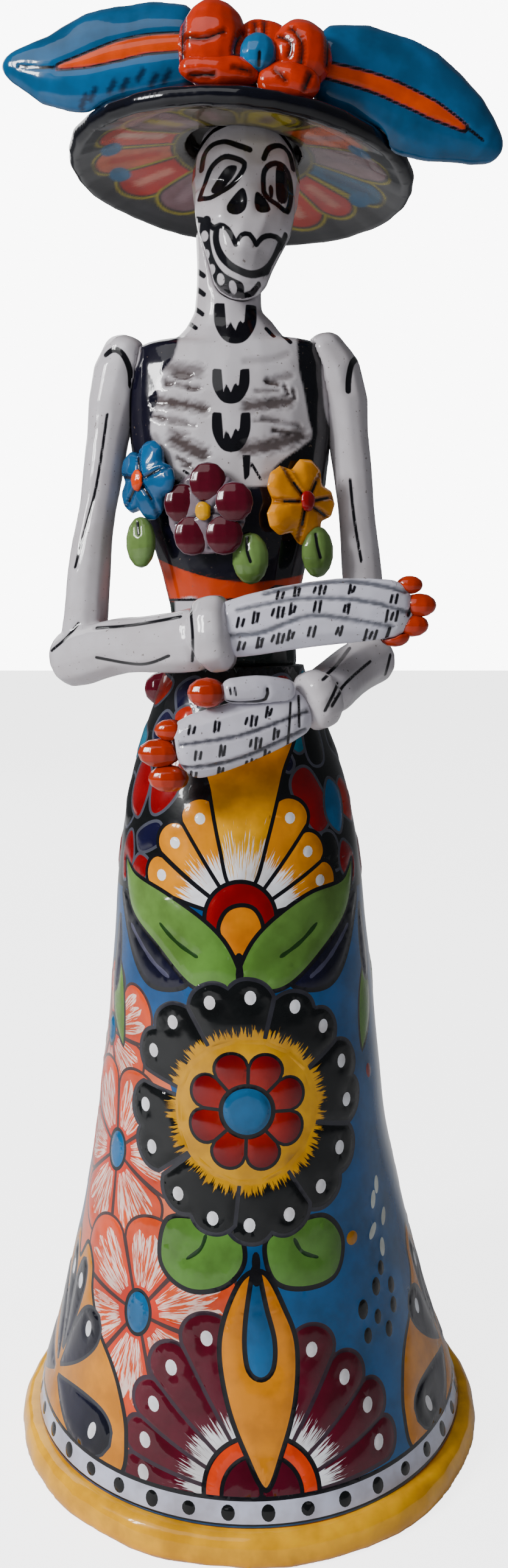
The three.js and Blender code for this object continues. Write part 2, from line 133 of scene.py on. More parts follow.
def wedge(direction, half_angle, inner, outer, roundness=0.75, lobes=1):
    """A fan's petal: a slice between two radii with a round or lobed tip."""
    bulge = outer * math.radians(half_angle) * roundness
    t = np.linspace(-1, 1, max(9, round(outer * math.radians(half_angle) * 2)))
    if lobes == 1:
        cap = outer - bulge * (1 - np.sqrt(1 - (0.985 * t) ** 2))
    else:
        local = np.abs(np.mod((t + 1) * lobes / 2, 1) * 2 - 1)
        cap = outer - bulge * 0.45 * local**2.5 - bulge * 0.3 * t**2
    tips = [polar(direction + half_angle * s, r) for s, r in zip(t, cap)]
    side = np.linspace(inner, cap[-1], max(3, round((outer - inner) / 2)))[1:-1]
    right = [polar(direction + half_angle, r) for r in side[::-1]]
    base = [polar(direction + half_angle * s, inner) for s in (1, 0, -1)]
    left = [polar(direction - half_angle, r) for r in side]
    return np.array(tips + right + base + left)


def normals_2d(line, closed):
    """Unit normals to the left of a line's run."""
    if closed:
        run = np.roll(line, -1, 0) - np.roll(line, 1, 0)
    else:
        run = np.gradient(line, axis=0)
    run = run / np.maximum(np.linalg.norm(run, axis=1, keepdims=True), 1e-9)
    return np.stack([-run[:, 1], run[:, 0]], 1)


def anticlockwise(outline):
    x, y = outline.T
    area = np.sum(x * np.roll(y, -1) - np.roll(x, -1) * y)
    return outline if area > 0 else outline[::-1]


def offset(outline, distance):
    """The outline moved outwards, or inwards where distance is negative."""
    outline = anticlockwise(outline)
    return outline - normals_2d(outline, True) * distance


def ribbon(path, width):
    """A brush line along a path: narrower at its ends, and not quite even."""
    tip_width, wobble = 0.35, 0.12
    line = curve(path)
    t = np.linspace(0, 1, len(line))
    ends = np.minimum(1, np.minimum(t, 1 - t) * len(line) * 0.5 + tip_width)
    unsteady = 1 + wobble * np.sin(7 * t * len(line) / 6 + line[0, 0])
    half = (width / 2 * ends * unsteady)[:, None]
    side = normals_2d(line, False)
    return np.concatenate([line + side * half, (line - side * half)[::-1]])


def spine_and_side(base, tip):
    """Both ends as arrays, the length between them, and the direction to their left."""
    base, tip = np.asarray(base, float), np.asarray(tip, float)
    length = float(np.linalg.norm(tip - base))
    along = (tip - base) / length
    return base, tip, length, np.array([-along[1], along[0]])


def petal(base, tip, width, base_width, fullness=0.62):
    """A petal from base to tip: base_width of its width at the base, round at the tip."""
    base, tip, length, side = spine_and_side(base, tip)
    t = np.linspace(0, 1, max(6, round(length / 1.4)))
    rise = base_width + (1 - base_width) * np.sin(np.minimum(t / fullness, 1) * math.pi / 2)
    fall = np.sqrt(np.clip(1 - (np.clip(t - fullness, 0, 1) / (1 - fullness)) ** 2, 0, 1))
    half = (width / 2 * rise * fall)[:, None]
    spine = base + t[:, None] * (tip - base)
    return np.concatenate([spine + side * half, (spine - side * half)[::-1][1:]])


def leaf(base, tip, width, bow):
    """A pointed leaf whose middle line bows sideways."""
    base, tip, length, side = spine_and_side(base, tip)
    t = np.linspace(0, 1, max(8, round(length / 1.4)))
    half = (width / 2 * np.sin(math.pi * t**0.85) ** 0.8)[:, None]
    spine = base + t[:, None] * (tip - base) + side * (bow * np.sin(math.pi * t))[:, None]
    return np.concatenate([spine + side * half, (spine - side * half)[::-1][1:-1]])


def winding(points, outline):
    """How many times an outline goes anticlockwise round each point."""
    count = np.zeros(len(points), int)
    x, y = points.T
    for (x1, y1), (x2, y2) in zip(outline, np.roll(outline, -1, 0)):
        left = (x2 - x1) * (y - y1) - (x - x1) * (y2 - y1)
        count += (y1 <= y) & (y2 > y) & (left > 0)
        count -= (y1 > y) & (y2 <= y) & (left < 0)
    return count


FAR = 12.0  # line_distance looks no further than this


def line_distance(points, line):
    """Distance from each point to a line of points, in the plane, and FAR if it is far."""
    found = np.full(len(points), FAR)
    near = ((points > line.min(0) - FAR) & (points < line.max(0) + FAR)).all(1)
    close = points[near]
    best = found[near]
    for a, b in zip(line[:-1], line[1:]):
        run = b - a
        t = np.clip(((close - a) @ run) / max(float(run @ run), 1e-9), 0, 1)
        best = np.minimum(best, np.hypot(*(close - a - t[:, None] * run).T))
    found[near] = best
    return found


def inner_distance(points, outline):
    """Distance inside an outline, negative outside."""
    away = line_distance(points, np.concatenate([outline, outline[:1]]))
    return np.where(winding(points, outline) != 0, away, -away)


# ---- paint ----

COVERED = 3.0  # brush cover at which no hairs show
RELIEF_EDGE = 2.0  # how far from a line the glaze reaches its full height
RELIEF_RIM = 0.9  # a ring of points this far inside an outline keeps its raised edge round
DOT_LIFT = 0.4
ROW_PITCH = 0.87  # between rows of triangles with equal sides, as a share of those sides


def paint(color, tip=None, under=None, start=None, spread=6, reach=20, cover=COVERED):
    """Glaze for one outline. The colour runs from color at the plane's origin to tip at reach.
    Where start is given, the brush strokes thin out towards the origin at about that distance
    and show the under colour between their hairs. Strokes radiate from the origin."""
    first = linear(color)
    last = linear(tip if tip is not None else color)
    below = linear(under if under is not None else color)

    def at(points):
        along = np.hypot(*points.T)
        across = np.arctan2(points[:, 1], points[:, 0]) * reach
        mix = np.clip(along / reach, 0, 1)[:, None]
        covers = np.full(len(points), cover) if start is None else (along - start) / spread + 0.5
        brush = np.stack([along, across, np.clip(covers, -COVERED, COVERED)], 1)
        return first * (1 - mix) + last * mix, np.tile(below, (len(points), 1)), brush

    return at


class Canvas:
    """A flat painting of a wall. Each outline covers those before it, and the first is its
    border. A motif is drawn in a plane of its own, which at() puts on the wall."""

    def __init__(self, wall, ground):
        self.wall = wall
        self.outlines, self.paints, self.lifts = [], [], []
        self.whole()
        self.fill(wall.border(), ground)

    def at(self, angle, z):
        """Puts what is drawn next round a place of the wall."""
        self.spot = self.wall.spot(angle, z)

    def whole(self):
        """Draws in the plane of the whole wall again."""
        self.spot = None

    def fill(self, outline, glaze, lift=0.0):
        """Paints an outline. lift is how far its middle stands up, in millimetres."""
        outline = anticlockwise(np.asarray(outline, float))
        if self.spot is not None:
            out, back = self.spot
            outline = out(outline)
            flat_glaze = glaze

            def glaze(points):
                return flat_glaze(back(points))

        self.outlines.append(outline)
        self.paints.append(glaze)
        self.lifts.append(lift)

    def outlined(self, outline, glaze, line=1.6, lift=0.28, ink=INK):
        """An outline with a dark line on it. The glaze runs a little way over the line."""
        self.fill(offset(outline, line * 0.5), paint(ink))
        self.fill(offset(outline, -line * 0.42), glaze, lift)

    def stroke(self, path, width, color=INK):
        self.fill(ribbon(path, width), paint(color))

    def dot(self, centre, half_width, half_height=None, color=BRIGHT_WHITE, turn=0.0):
        """A raised drop of glaze, round unless it has a half height of its own."""
        outline = oval(centre, half_width, half_height or half_width, turn)
        self.fill(outline, paint(color), DOT_LIFT)

    def band(self, low, high, color):
        """Paints a strip right round the wall between two heights."""
        across = np.linspace(-182, 182, 122)
        self.whole()
        edges = [self.wall.flat(across, low), self.wall.flat(across[::-1], high)]
        self.fill(np.concatenate(edges), paint(color))

    def triangles(self, spacing):
        """Cuts the plane into triangles that each lie in one painted area."""
        points, faces, loose = [], [], []
        for outline, lift in zip(self.outlines, self.lifts):
            faces.append(list(range(len(points), len(points) + len(outline))))
            points.extend(outline)
            if lift:
                loose.append(offset(outline, -RELIEF_RIM))
        low, high = self.outlines[0].min(0), self.outlines[0].max(0)
        rows = np.arange(low[1] + spacing / 2, high[1], spacing * ROW_PITCH)
        for i, y in enumerate(rows):
            x = np.arange(low[0] + spacing * (0.3 + 0.5 * (i % 2)), high[0], spacing)
            loose.append(np.stack([x, np.full(len(x), y)], 1))
        points.extend(np.concatenate(loose))
        made = geometry.delaunay_2d_cdt([Vector(p) for p in points], [], faces, 0, 1e-4, False)
        place = np.array([tuple(p) for p in made[0]])
        cut = np.array(made[2])
        owner = self.owners(place[cut].mean(1))
        return place, cut[owner >= 0], owner[owner >= 0]

    def owners(self, middles):
        """Which outline is on top at each point, or -1 outside the border."""
        owner = np.full(len(middles), -1)
        for k, outline in enumerate(self.outlines):
            near = ((middles > outline.min(0)) & (middles < outline.max(0))).all(1)
            near = np.where(near & ((owner >= 0) | (k == 0)))[0]
            owner[near[winding(middles[near], outline) > 0]] = k
        return owner

    def lift_of(self, place, faces, owner):
        """How far each point stands up: full height only well away from any line."""
        low = np.full(len(place), len(self.outlines))
        high = np.full(len(place), -1)
        for k in range(3):
            np.minimum.at(low, faces[:, k], owner)
            np.maximum.at(high, faces[:, k], owner)
        edge = np.where((low != high) & (high >= 0))[0]
        tree = KDTree(len(edge))
        for i in edge:
            tree.insert((*place[i], 0), int(i))
        tree.balance()
        away = np.array([tree.find((*p, 0))[2] for p in place])
        rise = np.clip(away / RELIEF_EDGE, 0, 1)
        lifts = np.array(self.lifts)[np.clip(high, 0, None)]
        return np.where(low == high, lifts * rise**2 * (3 - 2 * rise), 0.0)

    def colors(self, place, faces, owner):
        """Paint, under-paint and brush values at each corner of each triangle."""
        values = np.zeros((3, len(faces) * 3, 3))
        corners = faces.reshape(-1)
        owners = np.repeat(owner, 3)
        for shape in np.unique(owner):
            at = np.where(owners == shape)[0]
            for row, found in zip(values, self.paints[shape](place[corners[at]])):
                row[at] = found
        return values


# ---- meshes ----


def make_object(name, points, faces, values=None):
    """A smooth-shaded mesh from points in millimetres, with its three corner attributes."""
    mesh = bpy.data.meshes.new(name)
    mesh.from_pydata((np.asarray(points) * MM).tolist(), [], [list(map(int, f)) for f in faces])
    if values is not None:
        for label, row in zip(("paint", "under", "brush"), values):
            layer = mesh.attributes.new(label, "FLOAT_VECTOR", "CORNER")
            layer.data.foreach_set("vector", row.astype(np.float32).ravel())
    mesh.polygons.foreach_set("use_smooth", np.ones(len(mesh.polygons), bool))
    mesh.update()
    made = bpy.data.objects.new(name, mesh)
    bpy.context.scene.collection.objects.link(made)
    return made


def cad_shape(*nodes):
    """Points in millimetres and triangles of one or more CAD nodes."""
    points, faces = [], []
    for node in nodes:
        mesh = frame["nodes"][node].data
        mesh.calc_loop_triangles()
        start = len(points)
        points.extend(tuple(v.co / MM) for v in mesh.vertices)
        faces.extend(tuple(start + i for i in t.vertices) for t in mesh.loop_triangles)
    return points, faces


def box_of(*nodes):
    """Lowest and highest corner in millimetres of one or more CAD nodes together."""
    boxes = np.array([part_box(node) for node in nodes]) / MM
    return boxes[:, 0].min(0), boxes[:, 1].max(0)


def middle_of(*nodes):
    """Middle in millimetres of the box round one or more CAD nodes."""
    low, high = box_of(*nodes)
    return (low + high) / 2


def blurred(grid, sigma_rows, sigma_columns):
    """A radius map smoothed along its height and, wrapping round, along its angle."""
    for sigma, axis, mode in ((sigma_rows, 0, "edge"), (sigma_columns, 1, "wrap")):
        reach = math.ceil(3 * sigma)
        kernel = np.exp(-0.5 * (np.arange(-reach, reach + 1) / sigma) ** 2)
        kernel /= kernel.sum()
        pad = [(reach, reach) if a == axis else (0, 0) for a in (0, 1)]
        padded = np.pad(grid, pad, mode=mode)
        grid = np.apply_along_axis(lambda row: np.convolve(row, kernel, "valid"), axis, padded)
    return grid


class Wall:
    """The outside of an upright CAD shape as a radius against angle and height."""

    def __init__(self, node, low, high, axis):
        self.low, self.high, self.axis = low, high, axis
        self.heights = np.linspace(low, high, round((high - low) / 2))
        self.angles = np.radians(np.arange(-180, 180, 3))
        self.grid = blurred(self.measured(BVHTree.FromPolygons(*cad_shape(node))), 3, 4)
        self.mean = self.grid.mean(1)
        steps = np.hypot(np.diff(self.mean), np.diff(self.heights))
        self.run = np.concatenate([[0], np.cumsum(steps)])

    def measured(self, tree):
        """Radii found by rays from outside. A row without a hit takes the one below it."""
        outside = 200.0
        grid = np.full((len(self.heights), len(self.angles)), np.nan)
        for i, z in enumerate(self.heights):
            for j, a in enumerate(self.angles):
                out = Vector((math.sin(a), -math.cos(a), 0))
                hit = tree.ray_cast(Vector((*self.axis(z), z)) + out * outside, -out, outside)
                if hit[0] is not None:
                    grid[i, j] = outside - hit[3]
        for i in range(1, len(grid)):
            grid[i] = np.where(np.isnan(grid[i]), grid[i - 1], grid[i])
        return grid

    def radius(self, angle, z):
        """Radius at angles in radians and heights, both arrays."""
        row = np.interp(z, self.heights, np.arange(len(self.heights)))
        column = (angle - self.angles[0]) / (2 * math.pi) * len(self.angles)
        r0 = np.clip(row.astype(int), 0, len(self.heights) - 2)
        c0 = np.floor(column).astype(int)
        up, along = row - r0, column - c0
        wide = len(self.angles)
        rows = []
        for r in (r0, r0 + 1):
            rows.append(self.grid[r, c0 % wide] * (1 - along) + self.grid[r, (c0 + 1) % wide] * along)
        return rows[0] * (1 - up) + rows[1] * up

    def mean_at(self, z):
        return np.interp(z, self.heights, self.mean)

    def height_at(self, run):
        return np.interp(run, self.run, self.heights)

    def squash(self, z):
        """Depth of the wall over its width at a height."""
        front, side = self.radius(np.radians([0.0, 90.0]), np.array([z, z]))
        return float(front / side)

    def flat(self, angle, z):
        """Angles in degrees and heights to the plane: arc length and run up the wall."""
        angle, z = np.broadcast_arrays(np.asarray(angle, float), np.asarray(z, float))
        return np.stack([np.radians(angle) * self.mean_at(z), np.interp(z, self.heights, self.run)], -1)

    def flat_blob(self, *places):
        """A smooth outline through places given as (angle, height)."""
        return curve(self.flat(*np.array(places).T), closed=True)

    def border(self):
        """The whole wall's outline in the plane, open at the back."""
        z = np.linspace(self.low, self.high, round(self.run[-1] / 2.5))
        across = np.linspace(-180, 180, 120)
        right = self.flat(180, z)
        top = self.flat(across[::-1], self.high)[1:-1]
        left = self.flat(-180, z[::-1])
        bottom = self.flat(across, self.low)[1:-1]
        return np.concatenate([right, top, left, bottom])

    def spot(self, angle, z):
        """A motif's own plane, centred on a place of the wall, with its shape kept true there:
        the functions from that plane to the wall's and back."""
        turn = math.radians(angle)
        centre = float(np.interp(z, self.heights, self.run))

        def shift(y):
            return turn * self.mean_at(self.height_at(y))

        def out(points):
            y = points[:, 1] + centre
            return np.stack([points[:, 0] + shift(y), y], 1)

        def back(points):
            return np.stack([points[:, 0] - shift(points[:, 1]), points[:, 1] - centre], 1)

        return out, back

    def place(self, plane, lift):
        """Points of the plane on the wall, raised by lift and by the clay's unevenness."""
        z = self.height_at(plane[:, 1])
        angle = plane[:, 0] / self.mean_at(z)
        x, y = np.array([self.axis(h) for h in z]).T
        r = self.radius(angle, z) + lift + uneven(angle, z)
        return np.stack([x + r * np.sin(angle), y - r * np.cos(angle), z], 1)


def uneven(angle, z):
    """Slow waves left by the hand that pulled the wall. They close round the back."""
    size = 0.22
    first = np.sin(3 * angle + z * 0.045)
    second = 0.7 * np.sin(5 * angle - z * 0.083 + 1.3)
    return size * (first + second + 0.5 * np.sin(2 * angle + z * 0.17))


def rim_loop(faces, place, plane_height):
    """The boundary points at one height of the plane, in order round the wall."""
    edges = set()
    for a, b, c in faces:
        for edge in ((a, b), (b, c), (c, a)):
            if (edge[1], edge[0]) in edges:
                edges.remove((edge[1], edge[0]))
            else:
                edges.add(edge)
    on = {int(i) for e in edges for i in e if abs(place[i, 1] - plane_height) < 0.01}
    return sorted(on, key=lambda i: place[i, 0])


CLOSE = 0.02  # points of the plane this near an edge lie on it


def seam(wall, place):
    """Each point's own number, or that of its twin across the join at the back."""
    half_turn = math.pi * wall.mean_at(wall.height_at(place[:, 1])) - CLOSE
    left = np.where(place[:, 0] < -half_turn)[0]
    joined = np.arange(len(place))
    for i in np.where(place[:, 0] > half_turn)[0]:
        joined[i] = left[int(np.argmin(np.abs(place[left, 1] - place[i, 1])))]
    return joined


def lining(wall, angles, rings, bottom, start):
    """Points, numbered from start, and faces of the hollow: rings from the bottom up."""
    points, faces = [], []
    ring = bottom
    for radius, z in rings:
        x, y = wall.axis(z)
        depth = radius * wall.squash(z)
        fresh = [start + len(points) + k for k in range(len(ring))]
        points.extend((x + radius * math.sin(a), y - depth * math.cos(a), z) for a in angles)
        faces.extend((ring[k - 1], fresh[k - 1], fresh[k], ring[k]) for k in range(len(ring)))
        ring = fresh
    faces.append(tuple(ring[::-1]))
    return points, faces


def painted_wall(name, canvas, spacing, rings, lid_color):
    """Wraps a canvas round its wall, joins it at the back and closes it with a lid. rings
    holds the (radius, height) of the bare clay hollow, from the bottom up."""
    wall = canvas.wall
    place, faces, owner = canvas.triangles(spacing)
    points = wall.place(place, canvas.lift_of(place, faces, owner)).tolist()
    joined = seam(wall, place)
    wrapped = joined[faces]
    sound = (wrapped != np.roll(wrapped, 1, 1)).all(1)
    values = canvas.colors(place, faces, owner)[:, np.repeat(sound, 3)]
    top, bottom = (
        [i for i in rim_loop(faces, place, edge) if joined[i] == i]
        for edge in (place[:, 1].max(), place[:, 1].min())
    )
    angles = place[bottom, 0] / wall.mean[0]
    inner_points, inner_faces = lining(wall, angles, rings, bottom, len(points))
    closing = [tuple(top)] + inner_faces
    plain = np.zeros((3, sum(len(f) for f in closing), 3))
    plain[:2] = linear(CLAY)
    plain[:2, : len(top)] = linear(lid_color)
    plain[2, :, 2] = COVERED
    all_faces = [tuple(f) for f in wrapped[sound]] + closing
    made = make_object(name, points + inner_points, all_faces, np.concatenate([values, plain], 1))
    return turned_outwards(made)


def turned_outwards(made):
    """Drops points that no face uses and turns the faces outwards."""
    shape = bmesh.new()
    shape.from_mesh(made.data)
    unused = [v for v in shape.verts if not v.link_faces]
    bmesh.ops.delete(shape, geom=unused, context="VERTS")
    bmesh.ops.recalc_face_normals(shape, faces=shape.faces)
    shape.to_mesh(made.data)
    shape.free()
    return made


# ---- glaze ----


class Nodes:
    """Short names for building a material's nodes."""

    def __init__(self, name):
        self.material = bpy.data.materials.new(name)
        self.material.use_nodes = True
        self.tree = self.material.node_tree
        self.shader = self.tree.nodes["Principled BSDF"]

    def add(self, kind, **settings):
        """A new node. Each setting is an input's value or, failing that, a property."""
        node = self.tree.nodes.new(kind)
        for key, value in settings.items():
            if key in node.inputs:
                node.inputs[key].default_value = value
            else:
                setattr(node, key, value)
        return node

    def link(self, start, end):
        self.tree.links.new(start, end)

    def feed(self, socket, value):
        """Gives a socket a constant or another node's output."""
        if isinstance(value, (int, float, tuple)):
            socket.default_value = value
        else:
            self.link(value, socket)

    def attribute(self, name, output):
        return self.add("ShaderNodeAttribute", attribute_name=name).outputs[output]

    def math(self, kind, first, second):
        node = self.add("ShaderNodeMath", operation=kind)
        for socket, value in zip(node.inputs, (first, second)):
            self.feed(socket, value)
        return node.outputs[0]

    def mix(self, factor, first, second, blend="MIX"):
        node = self.add("ShaderNodeMix", data_type="RGBA", blend_type=blend)
        for k, value in ((0, factor), (6, first), (7, second)):
            self.feed(node.inputs[k], value)
        return node.outputs[2]

    def noise(self, vector, scale, detail=2.0, roughness=0.5):
        node = self.add("ShaderNodeTexNoise", Scale=scale, Detail=detail, Roughness=roughness)
        self.link(vector, node.inputs["Vector"])
        return node.outputs[0]

    def spread(self, value, low, high, to_low=0.0, to_high=1.0):
        node = self.add("ShaderNodeMapRange", interpolation_type="SMOOTHSTEP")
        self.link(value, node.inputs["Value"])
        for key, number in zip(("From Min", "From Max", "To Min", "To Max"), (low, high, to_low, to_high)):
            node.inputs[key].default_value = number
        return node.outputs[0]


LINE = 4.0  # ink is a line where a point's ink value is above this


def brushed_paint(n):
    """The paint's colour and how far it covers: near 0 its strokes break up into hairs."""
    parts = n.add("ShaderNodeSeparateXYZ")
    n.link(n.attribute("brush", "Vector"), parts.inputs[0])
    hair_place = n.add("ShaderNodeCombineXYZ")
    n.link(n.math("MULTIPLY", parts.outputs[0], 0.10), hair_place.inputs[0])
    n.link(n.math("MULTIPLY", parts.outputs[1], 0.95), hair_place.inputs[1])
    hairs = n.noise(hair_place.outputs[0], 1.0, 3.0, 0.6)
    wild = n.math("MULTIPLY", n.math("SUBTRACT", hairs, 0.5), 3.4)
    cover = n.spread(n.math("ADD", parts.outputs[2], wild), -0.14, 0.14)
    return n.mix(cover, n.attribute("under", "Color"), n.attribute("paint", "Color")), cover


def pooled(n, color, place, pool, tone):
    """Glaze is deeper in colour where it pools and paler where it has run thin."""
    drift = n.noise(place, 30.0, 1.0)
    slow = n.spread(drift, 0.3, 0.7, 1 - tone * 0.7, 1 + tone * 0.7)
    shade = n.math("ADD", n.spread(pool, 0.3, 0.7, -tone, tone), slow)
    gain = n.add("ShaderNodeCombineXYZ")
    for k, power in enumerate((1.0, 1.15, 1.25)):
        n.link(n.math("POWER", shade, power), gain.inputs[k])
    return n.mix(1.0, color, gain.outputs[0], "MULTIPLY")


def glaze_material(name, tone, roughness, pinholes=False):
    """A fired glaze that reads its paint, its brush strokes and its ink from the mesh. tone is
    how much it pools and thins."""
    n = Nodes(name)
    place = n.add("ShaderNodeTexCoord").outputs["Object"]
    base, cover = brushed_paint(n)
    pool = n.noise(place, 95.0, 3.0, 0.55)
    color = pooled(n, base, place, pool, tone)
    if pinholes:
        holes = n.spread(n.noise(place, 900.0, 1.0), 0.7, 0.78, 0.0, 0.75)
        color = n.mix(holes, color, (*linear(PINHOLE), 1.0))
    ink = n.spread(n.attribute("ink", "Fac"), LINE - 0.2, LINE + 0.2)
    n.link(n.mix(ink, color, (*linear(INK), 1.0)), n.shader.inputs["Base Color"])
    n.link(n.spread(pool, 0.2, 0.8, roughness * 0.8, roughness * 1.3), n.shader.inputs["Roughness"])
    clear = {"Coat Weight": 0.8, "Coat Roughness": 0.05, "Coat IOR": 1.42, "Specular IOR Level": 0.12}
    for key, value in clear.items():
        n.shader.inputs[key].default_value = value
    grain = n.noise(place, 260.0, 2.0)
    height = n.math("ADD", n.math("MULTIPLY", grain, 0.35), n.math("MULTIPLY", cover, 0.25))
    bump = n.add("ShaderNodeBump", Strength=0.08, Distance=0.001)
    n.link(height, bump.inputs["Height"])
    n.link(bump.outputs[0], n.shader.inputs["Normal"])
    n.link(bump.outputs[0], n.shader.inputs["Coat Normal"])
    return n.material


PAINTED = glaze_material("painted_glaze", 0.16, 0.2)
WHITE_GLAZE = glaze_material("white_glaze", 0.05, 0.16, pinholes=True)


def dress(piece, material, body, slot, *nodes):
    """Gives a piece its glaze and its body, and hides the CAD nodes that it stands for. slot is not used."""
    piece.data.materials.clear()
    piece.data.materials.append(material)
    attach(piece, body)
    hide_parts(*nodes)


# ---- pieces that follow the CAD shape ----


class View:
    """Paints from one side: what is right and up there, and the way that side faces. least
    is how squarely a point must face that side to be seen."""

    def __init__(self, right, up, facing, least=0.08):
        self.axes = np.array([right, up], float).T
        self.facing, self.least = np.array(facing, float), least

    def sees(self, normals):
        return normals @ self.facing > self.least


FRONT = View((1, 0, 0), (0, 0, 1), (0, -1, 0))
BACK = View((1, 0, 0), (0, 0, 1), (0, 1, 0))


class Form:
    """A smooth copy of CAD nodes to be worked on: points and normals in millimetres. voxel is
    the size of its mesh's squares, and rounds is how often it is smoothed."""

    def __init__(self, name, nodes, voxel, rounds):
        self.nodes = nodes
        self.middle = middle_of(*nodes)
        self.object = make_object(name, *cad_shape(*nodes))
        remesh = self.object.modifiers.new("clay", "REMESH")
        remesh.mode = "VOXEL"
        remesh.voxel_size = voxel * MM
        remesh.use_smooth_shade = True
        smooth = self.object.modifiers.new("wet", "SMOOTH")
        smooth.factor = 0.5
        smooth.iterations = rounds
        worked = self.object.evaluated_get(bpy.context.evaluated_depsgraph_get())
        shape = bpy.data.meshes.new_from_object(worked)
        self.object.modifiers.clear()
        self.object.data = shape
        self.read()
        self.ink = np.zeros(len(self.points))
        self.color = np.tile(linear(WHITE), (len(self.points), 1))

    def read(self):
        flat = np.zeros(len(self.object.data.vertices) * 3, np.float32)
        self.object.data.vertices.foreach_get("co", flat)
        self.points = flat.reshape(-1, 3).astype(float) / MM
        self.object.data.vertex_normals.foreach_get("vector", flat)
        self.normals = flat.reshape(-1, 3).astype(float)

    def write(self):
        flat = (self.points * MM).astype(np.float32).ravel()
        self.object.data.vertices.foreach_set("co", flat)
        self.object.data.update()
        self.read()

    def seen(self, view):
        """The points in a view's plane, from the middle of the CAD nodes."""
        return (self.points - self.middle) @ view.axes

    def move(self, by):
        """Moves the points along their normals by a height each."""
        self.points += self.normals * np.asarray(by)[:, None]
        self.write()

    def stretch(self, wide, deep, tall, about=None):
        """Makes the form bigger or smaller about its middle, or another place."""
        middle = (self.points.min(0) + self.points.max(0)) / 2 if about is None else np.array(about)
        self.points = middle + (self.points - middle) * (wide, deep, tall)
        self.write()

    def tint(self, color, amount=1.0):
        """Lays a colour over the form; amount is a number or one for each point."""
        amount = np.broadcast_to(np.clip(amount, 0, 1), len(self.points))[:, None]
        self.color = self.color * (1 - amount) + linear(color) * amount

    def line(self, path, width, depth=0.0, view=FRONT):
        """Draws an ink line along a path seen from one side, and presses it in."""
        away = line_distance(self.seen(view), curve(path, step=1.5))
        facing = view.sees(self.normals)
        self.ink = np.maximum(self.ink, np.where(facing, LINE + width / 2 - away, 0))
        if depth:
            self.move(-depth * np.exp(-((away / (width * 0.8)) ** 2)) * facing)

    def smudge(self, path, width, color, strength, depth=0.0, view=FRONT):
        """A soft brush stroke, pressed in if it has a depth."""
        away = line_distance(self.seen(view), curve(path, step=1.5))
        across, up = (self.points @ view.axes).T
        hairs = 0.25 * np.sin(5.5 * up + 2 * np.sin(0.9 * across)) * strength
        amount = np.clip(1.5 - away / (width / 2) + hairs, 0, 1) * strength * view.sees(self.normals)
        self.tint(color, amount)
        if depth:
            self.move(-depth * amount)

    def shape(self, outline, color=None, edge=0.7, view=FRONT):
        """Paints the inside of an outline seen from one side, in ink where no colour is given."""
        inside = inner_distance(self.seen(view), np.asarray(outline, float))
        facing = view.sees(self.normals)
        if color is None:
            self.ink = np.maximum(self.ink, np.where(facing, LINE + inside, 0))
        else:
            self.tint(color, np.clip(inside / edge + 0.5, 0, 1) * facing)

    def clear(self, outline):
        """Leaves the inside of an outline, seen from the front, free of ink."""
        inside = inner_distance(self.seen(FRONT), outline)
        self.ink = np.where(FRONT.sees(self.normals), np.minimum(self.ink, LINE - inside), self.ink)

    def finish(self, material, body, slot):
        """Stores the paint on the mesh and hands the piece over."""
        mesh = self.object.data
        brush = np.tile((0.0, 0.0, COVERED), (len(self.points), 1))
        for label, values in (("paint", self.color), ("brush", brush)):
            layer = mesh.attributes.new(label, "FLOAT_VECTOR", "POINT")
            layer.data.foreach_set("vector", values.astype(np.float32).ravel())
        ink_layer = mesh.attributes.new("ink", "FLOAT", "POINT")
        ink_layer.data.foreach_set("value", np.clip(self.ink, 0, 2 * LINE).astype(np.float32))
        mesh.polygons.foreach_set("use_smooth", np.ones(len(mesh.polygons), bool))
        dress(self.object, material, body, slot, *self.nodes)


def waves(points, size, pitch):
    """Slow unevenness in clay, from three crossed waves a pitch apart."""
    x, y, z = (points / pitch * math.pi).T
    return size * (np.sin(x + 0.7 * z) + np.sin(1.3 * y - 0.6 * x + 1) + np.sin(0.9 * z + 0.8 * y + 2)) / 2


# ---- the skirt ----

SKIRT_LOW = round(box_of("skirt_shell")[0][2], 1)
SKIRT_HIGH = round(box_of("skirt_shell")[1][2] - 1.7, 1)  # below the shell's rounded rim
SKIRT_LEAN = ((11, 75, 140, 210, 290), (0, -2.3, -2.7, -3.5, -4.9))  # heights, X of the axis there
BRUSHED_SALMON = dict(color=(244, 214, 204), under=(206, 84, 52), cover=0.02, reach=24)


def mirrored(path, side):
    return [(side * x, z) for x, z in path]


def skirt_axis(z):
    """The bell leans a little to the viewer's left as it rises."""
    return float(np.interp(z, *SKIRT_LEAN)), 0.0


def paint_foot_band(canvas):
    """Two dark lines with a white strip of dots between them."""
    canvas.band(11.6, 20.2, INK)
    canvas.band(12.2, 18.9, (196, 198, 214))
    dots = 38
    for i in range(dots):
        canvas.at(360 / dots * (i + 0.5) - 180, 15.5)
        canvas.dot((0, 0), 2.3, 2.5 + 0.25 * math.sin(i * 2.1), BLACK)


